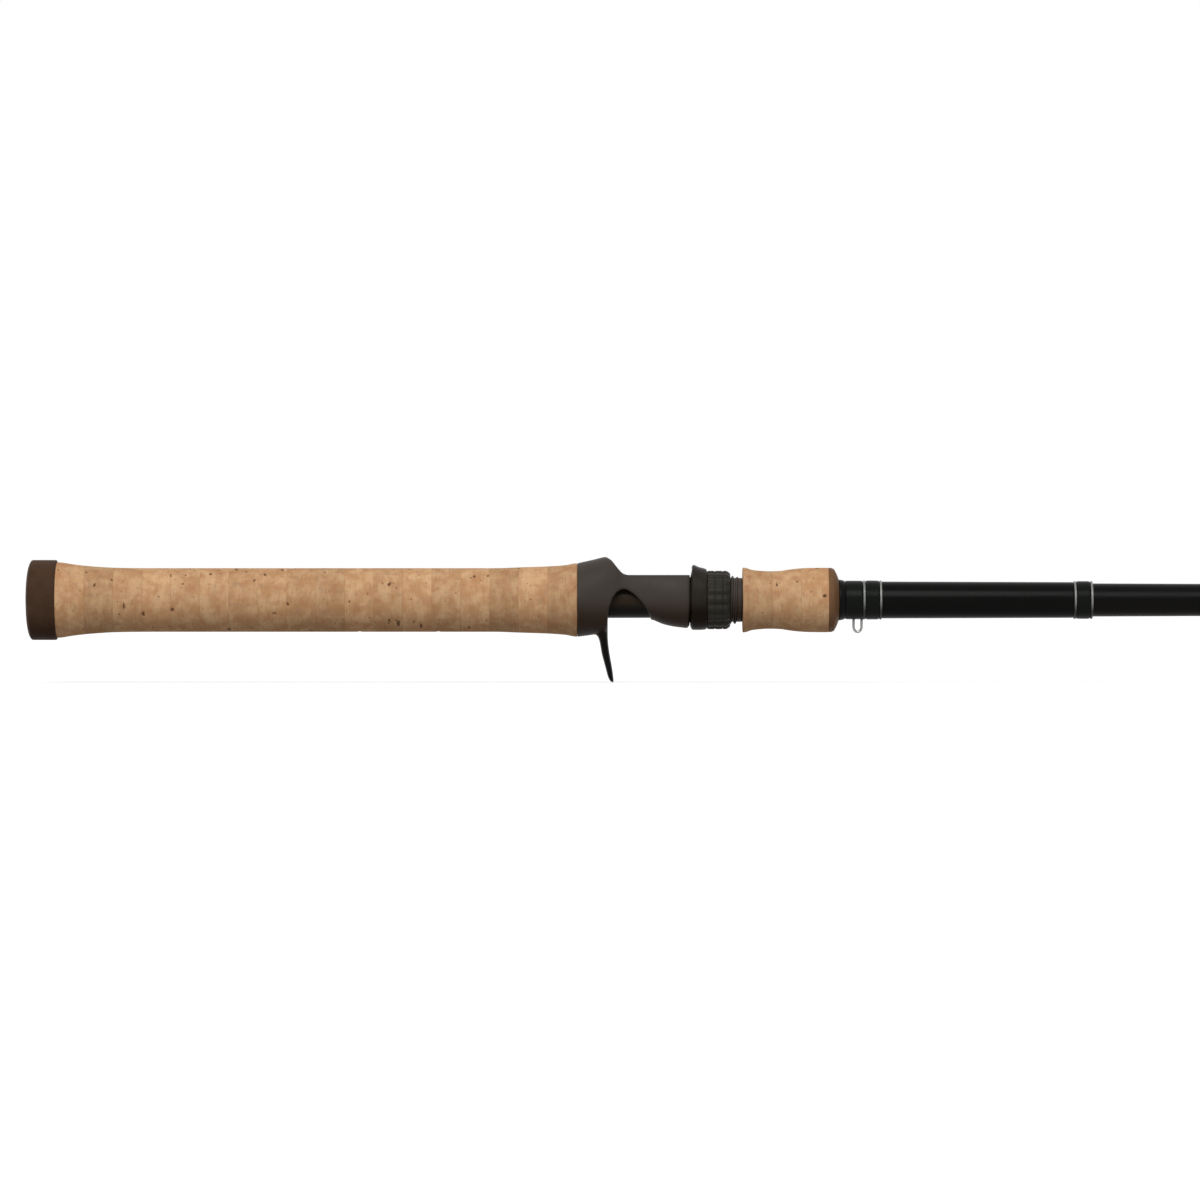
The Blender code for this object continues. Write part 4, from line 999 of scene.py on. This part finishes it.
def makeGripEnd():
    start, end = snug("grip_end_ring")
    start -= ringLap
    read = smoothCurve(sleeves["ring"] + [(1.0, fitRadius(end) + sleeves["ringInner"])])
    outline = [(blend(start, end, share), read(share)) for share in spread(0.0, 1.0, 0.05)]
    finish("gripEndRing", sleeve(outline, start, end), endRing, ["grip_end_ring"])
    check = roundedSleeve("winding_check", sleeves["check"])
    finish("windingCheck", check, checkBlack, ["winding_check"])


def threadRidge(away):
    # How deep the surface lies between two turns of thread.
    return threadShape["depth"] * (abs(sin(pi * away / threadShape["pitch"])) - 1.0)


def woundSleeve(start, end, wall, sides):
    # Thread turns side by side, under a coat that thins at the ends.
    outline = []
    for x in spread(start, end, threadShape["pitch"] / 6):
        away = min(x - start, end - x)
        thin = min(1.0, 0.35 + 0.65 * (away / (1.2 * wall)) ** 0.5)
        outline.append((x, fitRadius(x) + wall * thin + threadRidge(x - start)))
    return sleeve(outline, start, end, sides)


def makeWraps():
    sides = threadShape["sides"]
    for node, name, wall in wraps:
        finish(name, woundSleeve(*snug(node), wall, sides), wrapThread, [node])
    band = silverBand
    for number in range(1, band["count"] + 1):
        node = f"silver_band_{number}"
        start, end = snug(node)
        outline = []
        for x in spread(start, end, band["step"]):
            bead = abs(sin(band["turns"] * pi * (x - start) / (end - start)))
            outline.append((x, fitRadius(x) + band["wall"] + band["bead"] * bead**0.7))
        bm = sleeve(outline, start, end, sides)
        finish(f"silverThread{number}", bm, silverThread, [node])
    coat = roundedSleeve("label_coat", sleeves["label"])
    finish("labelCoat", coat, labelGloss, ["label_coat"])


keeper = {
    "wire": 0.55, "footWire": 0.3, "span": 4.6, "drop": 7.0, "foot": 1.2, "knee": 0.85,
    "bend": 0.5, "crown": 1.3,
    "place": 0.72,  # share of the wrap's length
}


def barAlong(path, widths, thicks, sides=20, power=0.5):
    # A bar along (x, z) points, squarer in section with a lower power.
    sections = []
    steps = zip(path, path[:1] + path, path[1:] + path[-1:], widths, thicks)
    for (x, z), behind, ahead, width, thick in steps:
        along = Vector((ahead[0] - behind[0], 0.0, ahead[1] - behind[1])).normalized()
        section = []
        for sine, cosine in arc(sides, tau)[:-1]:
            up = thick / 2 * signedPower(sine, power)
            aside = width / 2 * signedPower(cosine, power)
            section.append(Vector((x - along.z * up, aside, z + along.x * up)))
        sections.append(section)
    return lofted(sections)


def makeKeeper():
    start, end = span("keeper_wrap")
    wire, footWire, bend = keeper["wire"], keeper["footWire"], keeper["bend"]
    middle = blend(start, end, keeper["place"])
    half = keeper["span"] / 2 - wire
    rest = -(fitRadius(start) + footWire + hairline)
    low = wire - blankRadius(middle) - keeper["drop"]
    crown = keeper["crown"] * half
    side = [(half + keeper["foot"], rest), (half + keeper["knee"], rest), (half + bend, rest)]
    side += [(half + bend * (1 - sine), rest - bend * (1 - cosine)) for sine, cosine in arc(6)[1:]]
    arch = [(middle - half * cosine, low + crown * (1 - sine)) for sine, cosine in arc(28, pi)]
    points = [(middle - away, z) for away, z in side] + arch
    points += [(middle + away, z) for away, z in reversed(side)]
    # The feet are pressed thinner, so that the thread covers them.
    foot = [2 * footWire] * 3 + [2 * blend(footWire, wire, i / 6) for i in range(1, 7)]
    thicks = foot + [2 * wire] * len(arch) + foot[::-1]
    bm = barAlong(points, thicks, thicks, 16, 1.0)
    finish("hookKeeper", bm, keeperSteel, ["hook_keeper"])


def makeBlank():
    start, end = span("blank")
    station = rod["handleStation"]
    places = [start] + spread(240.0, 480.0, 20.0) + spread(500.0, end, 40.0)
    outline = [(x, blankRadius(x)) for x in places]
    for x, wall in ((end, rod["tipWall"]), (station, rod["buttWall"]), (start, rod["buttWall"])):
        outline.append((x, blankRadius(x) - wall))
    finish("rodBlank", turned(outline, rod["sides"]), blankGloss, ["blank"])


# Guides and tip-top

guide = {
    "stations": [
        # place along the rod, ring size
        (780.0, 12.0), (1005.0, 10.0), (1190.0, 8.0), (1350.0, 8.0), (1490.0, 8.0), (1615.0, 8.0),
        (1730.0, 8.0),
    ],
    "doubleFoot": 2, "ringWall": 1.0, "ringWidth": 2.2, "ringEdge": 0.1, "ringFit": 0.2,
    "rim": 0.9, "rimEdge": 0.15, "plate": 1.0, "leg": 4.6, "legSunk": 0.35, "spreadAngle": 38.0,
    "strut": 0.7, "strutReach": 0.55, "strutWidth": 2.6, "footHalf": 1.3, "footThick": 0.9,
    "footLength": 12.0, "footTip": 0.55,
    "footFull": 0.35,  # the share that keeps its thickness
    "footClear": 0.12, "wrapSetback": 1.6, "wrapLength": 12.0, "wrapWall": 0.5, "wrapSide": 0.3,
    "wrapEdge": 0.15, "wrapStep": 0.006, "sides": 72, "voxel": 0.12, "softness": 14,
    "keep": 0.4,
}


def rimRadius(size):
    return size / 2 + guide["ringFit"] + guide["rim"]


def ringHeight(size):
    return guide["leg"] + rimRadius(size)


def hoop(outline, x, centre):
    bm = turned(outline, guide["sides"])
    bmesh.ops.translate(bm, verts=bm.verts, vec=(x, 0.0, centre))
    return bm


def frameRim(x, centre, size):
    # The metal round the ring: a band with a slightly rounded outside.
    rim, half, edge = rimRadius(size), guide["plate"] / 2, guide["rimEdge"]
    outline = [(-half, size / 2 + hairline), (-half, rim - edge), (-half + edge, rim)]
    return hoop(outline + [(-away, radius) for away, radius in reversed(outline)], x, centre)


def ceramicRing(x, centre, size):
    outer, wall, half, edge = size / 2, guide["ringWall"], guide["ringWidth"] / 2, guide["ringEdge"]
    outline = [(-half + edge, outer), (half - edge, outer), (half, outer - edge)]
    for sine, cosine in arc(12, pi):
        outline.append((half * cosine, outer - wall + 0.75 * wall * (1 - sine**0.8)))
    return hoop(outline + [(-half, outer - edge)], x, centre)


def frameLeg(x, base, centre, size, side):
    # A flat leg from the foot to the lower side of the rim.
    rim, half, low = rimRadius(size) - guide["legSunk"], guide["plate"] / 2, base + 0.1
    angle = radians(guide["spreadAngle"])
    inner, outer = (
        Vector((0.0, side * rim * sin(turn), centre - rim * cos(turn)))
        for turn in (0.25 * angle, angle)
    )
    rows = []
    for share in spread(0.0, 1.0, 0.1):
        near = Vector((0.0, -side * 0.2, low)).lerp(inner, share)
        near.y += side * 0.45 * sin(pi * share) * share
        far = Vector((0.0, side * guide["footHalf"], low)).lerp(outer, share)
        corners = ((-half, near), (half, near), (half, far), (-half, far))
        rows.append([Vector((x + away, point.y, point.z)) for away, point in corners])
    return lofted(rows)


def addHead(bm, x, base, size):
    centre = base + ringHeight(size)
    addMesh(bm, frameRim(x, centre, size))
    for side in (-1, 1):
        addMesh(bm, frameLeg(x, base, centre, size, side))


def addStrut(bm, start, x, base, width):
    # From the two points of start up to the rim.
    low = base + guide["leg"] + guide["rim"] / 2
    path = start + [(x - 0.9, low - 0.45), (x + 0.25, low)]
    addMesh(bm, barAlong(path, [width] * 4, [guide["strut"]] * 4))


def footBar(x, base, direction):
    thick, wide, thin = guide["footThick"], 2 * guide["footHalf"], guide["footTip"]
    near, far = x - direction * guide["plate"] / 2, x + direction * guide["footLength"]
    path, widths, thicks = [], [], []
    for share in spread(0.0, 1.0, 0.1):
        fade = max(0.0, (share - guide["footFull"]) / (1 - guide["footFull"]))
        now = blend(thick, thin * thick, fade)
        path.append((blend(near, far, share), base + now / 2))
        widths.append(blend(wide, thin * wide, fade))
        thicks.append(now)
    return barAlong(path, widths, thicks)


def footWrap(x, direction, base):
    # Thread wound over a foot: round below, drawn straight over the foot's edges.
    near = x + direction * (guide["plate"] / 2 + guide["wrapSetback"])
    far = near + direction * guide["wrapLength"]
    read = smoothCurve([
        # share of the length, wall, height over the foot
        (0.0, 0.3, 0.2), (0.05, 0.7, 0.75), (0.16, 0.95, 1.15), (0.72, 0.95, 0.95), (0.95, 0.7, 0.35),
        (1.0, 0.35, 0.1),
    ])
    half = guide["footHalf"] + guide["wrapSide"]
    sections = []
    for share in spread(0.0, 1.0, guide["wrapStep"]):
        place = blend(near, far, share)
        wall, cover = read(share)
        around = fitRadius(place) + guide["wrapWall"] * wall + threadRidge(place - near)
        top = around + guide["footThick"] * cover
        shoulder = top - guide["wrapEdge"]
        corner, reach = atan2(half, shoulder), hypot(half, shoulder)
        tangent = corner + acos(min(1.0, around / reach))
        section = []
        for k in range(48):
            angle = tau * k / 48
            turn = min(angle, tau - angle)
            radius = around
            if turn <= corner:
                radius = min(top / cos(turn), reach)
            elif turn <= tangent:
                radius = around / cos(tangent - turn)
            section.append(aroundRod(place, radius, angle))
        sections.append(section)
    low, high = min(near, far) - 1, max(near, far) + 1
    bore = [(low, 0.0), (low, fitRadius(low)), (high, fitRadius(high)), (high, 0.0)]
    clear, thick, reach = guide["footClear"], guide["footThick"], direction * guide["footLength"]
    top, thin = base + thick + clear, base + guide["footTip"] * thick + clear
    full, end = x + guide["footFull"] * reach, x + reach + direction * 0.15
    room = prism([(x, 0.0), (x, top), (full, top), (end, thin), (end, 0.0)], guide["footHalf"] + clear)
    cuts = [("DIFFERENCE", turned(bore, 48, closed=False)), ("DIFFERENCE", room)]
    return carved(lofted(sections), cuts)


def finishGuide(bm, x, base, size, pieces, node):
    frame = carved(bm, [], guide["voxel"], guide["softness"], guide["keep"])
    finish(pieces[0], frame, guideSteel, [node + "_frame"])
    ring = ceramicRing(x, base + ringHeight(size), size)
    finish(pieces[1], ring, guideCeramic, [node + "_ring"])


def makeGuide(number, x, size):
    base, node = fitRadius(x - guide["footLength"]), f"guide_{number}"
    bm = bmesh.new()
    addHead(bm, x, base, size)
    addMesh(bm, footBar(x, base, 1))
    wraps = [(x, 1, "")]
    if number <= guide["doubleFoot"]:
        rear = x - guide["strutReach"] * ringHeight(size)
        addMesh(bm, footBar(rear, base, -1))
        addStrut(bm, [(rear - 0.25, base + 0.35), (rear + 0.9, base + 0.9)], x, base, guide["strutWidth"])
        wraps = [(x, 1, "Front"), (rear, -1, "Rear")]
    finishGuide(bm, x, base, size, (f"guideFrame{number}", f"guideRing{number}"), node)
    for place, direction, side in wraps:
        bound = f"{node}_{side.lower()}_wrap" if side else node + "_wrap"
        bm = footWrap(place, direction, base)
        finish(f"guideWrap{number}{side}", bm, wrapThread, [bound])


tip = {
    "tube": 12.0, "wall": 0.5, "edge": 0.4, "strutPlace": 3.0, "strutWidth": 1.6, "sink": 0.3,
    "ring": 8.0, "sides": 48,
}


def makeTipTop():
    end, wall, edge, size, sides = rod["length"], tip["wall"], tip["edge"], tip["ring"], tip["sides"]
    start = end - tip["tube"]
    bore = fitRadius(start)
    outer = bore + wall
    x, base, foot = end - guide["ringWidth"] / 2, outer - tip["sink"], start + tip["strutPlace"]
    bm = turned([
        (end - wall, 0.0), (end - wall, bore), (start, bore), (start, outer - 0.1), (start + 0.1, outer),
        (end - edge, outer), (end - 0.15, outer - 0.15), (end, outer - edge), (end, 0.0),
    ], sides, closed=False)
    addHead(bm, x, base, size)
    addStrut(bm, [(foot, base), (foot + 0.9, outer)], x, base, tip["strutWidth"])
    finishGuide(bm, x, base, size, ("tipFrame", "tipRing"), "tip_top")
    wrap = woundSleeve(*span("tip_wrap"), guide["wrapWall"], sides)
    finish("tipWrap", wrap, wrapThread, ["tip_wrap"])


makeButtCap()
makeGrip("rear")
makeGrip("fore")
print("cap and cork made")
makeReelSeat()
makeArbors()
makeMovableHood()
makeLockNut()
print("reel seat made")
makeGripEnd()
makeWraps()
makeKeeper()
makeBlank()
print("wraps and blank made")
for number, (x, size) in enumerate(guide["stations"], 1):
    makeGuide(number, x, size)
makeTipTop()
print("guides made")


# Floor, light and camera

studio = {
    "view": 528.0,  # width of the picture at the rod, mm
    "middle": 252.1, "lens": 200.0, "sensor": 36.0, "ambient": 0.42, "floorGlow": 0.72,
    "floorShade": 0.42, "floorBounce": 0.38, "key": 1.85,
    "keyHeight": 42.0,  # degrees above the horizon, from the camera's side
    "keySoftness": 36.0, "keyTurn": 0.12,
    "floorSize": 60.0,  # metres, as the next two
    "floorMiddle": 0.9, "floorGap": 0.0003,
}


def seenDirectly(shader):
    # One for what the camera, gloss and glass see, nothing for plain light.
    rays = shader.node("LightPath").socket.node.outputs
    seen = 0.0
    for kind in ("Camera", "Glossy", "Transmission"):
        seen = shader.work("MAXIMUM", seen, Wire(shader, rays[f"Is {kind} Ray"]))
    return seen


def makeFloor():
    bm = bmesh.new()
    bmesh.ops.create_grid(bm, x_segments=1, y_segments=1, size=studio["floorSize"])
    level = cadBounds[0][2] - studio["floorGap"]
    bmesh.ops.translate(bm, verts=bm.verts, vec=(studio["floorMiddle"], 0.0, level))
    floor = looseObject(bm, "floor")
    shader = Shader("paleFloor")
    tree = shader.tree
    tree.nodes.remove(shader.surface)
    plain = shader.node("BsdfDiffuse", {}, {"Color": (studio["floorBounce"],) * 3})
    shade = shader.node("BsdfDiffuse", {}, {"Color": (studio["floorShade"],) * 3})
    glow = shader.node("Emission", {}, {"Color": (1.0, 1.0, 1.0), "Strength": studio["floorGlow"]})
    pale = shader.node("AddShader", {}, {0: shade, 1: glow})
    mixed = shader.node("MixShader", {}, {0: seenDirectly(shader), 1: plain, 2: pale})
    tree.links.new(mixed.socket, tree.nodes["Material Output"].inputs["Surface"])
    floor.data.materials.append(shader.material)


class WorldShader(Shader):
    def __init__(self, world):
        world.use_nodes = True
        self.tree = world.node_tree
        self.surface = self.tree.nodes["Background"]


def makeWorld():
    world = bpy.data.worlds.new("paleRoom")
    bpy.context.scene.world = world
    shader = WorldShader(world)
    shader.surface.inputs["Color"].default_value = (1.0, 1.0, 1.0, 1.0)
    seen = seenDirectly(shader)
    shader.feed(shader.surface.inputs["Strength"], seen * (1 - studio["ambient"]) + studio["ambient"])


def makeKey():
    # One broad, distant lamp, so that the whole rod is lit evenly.
    lamp = bpy.data.lights.new("key", "SUN")
    lamp.energy = studio["key"]
    lamp.angle = radians(studio["keySoftness"])
    item = linked("key", lamp)
    height = radians(studio["keyHeight"])
    toward = Vector((studio["keyTurn"], cos(height), -sin(height)))
    item.rotation_mode = "QUATERNION"
    item.rotation_quaternion = toward.to_track_quat("-Z", "Y")


def makeCamera():
    camera = bpy.data.cameras.new("camera")
    camera.lens = studio["lens"]
    camera.sensor_width = studio["sensor"]
    camera.clip_end = 100.0
    item = linked("camera", camera)
    distance = studio["view"] * studio["lens"] / studio["sensor"] * metre
    item.location = (studio["middle"] * metre, -distance, 0.0)
    item.rotation_euler = (pi / 2, 0.0, 0.0)
    bpy.context.scene.camera = item


makeFloor()
makeWorld()
makeKey()
makeCamera()
bpy.context.scene.view_settings.view_transform = "Standard"
print("floor, light and camera made")
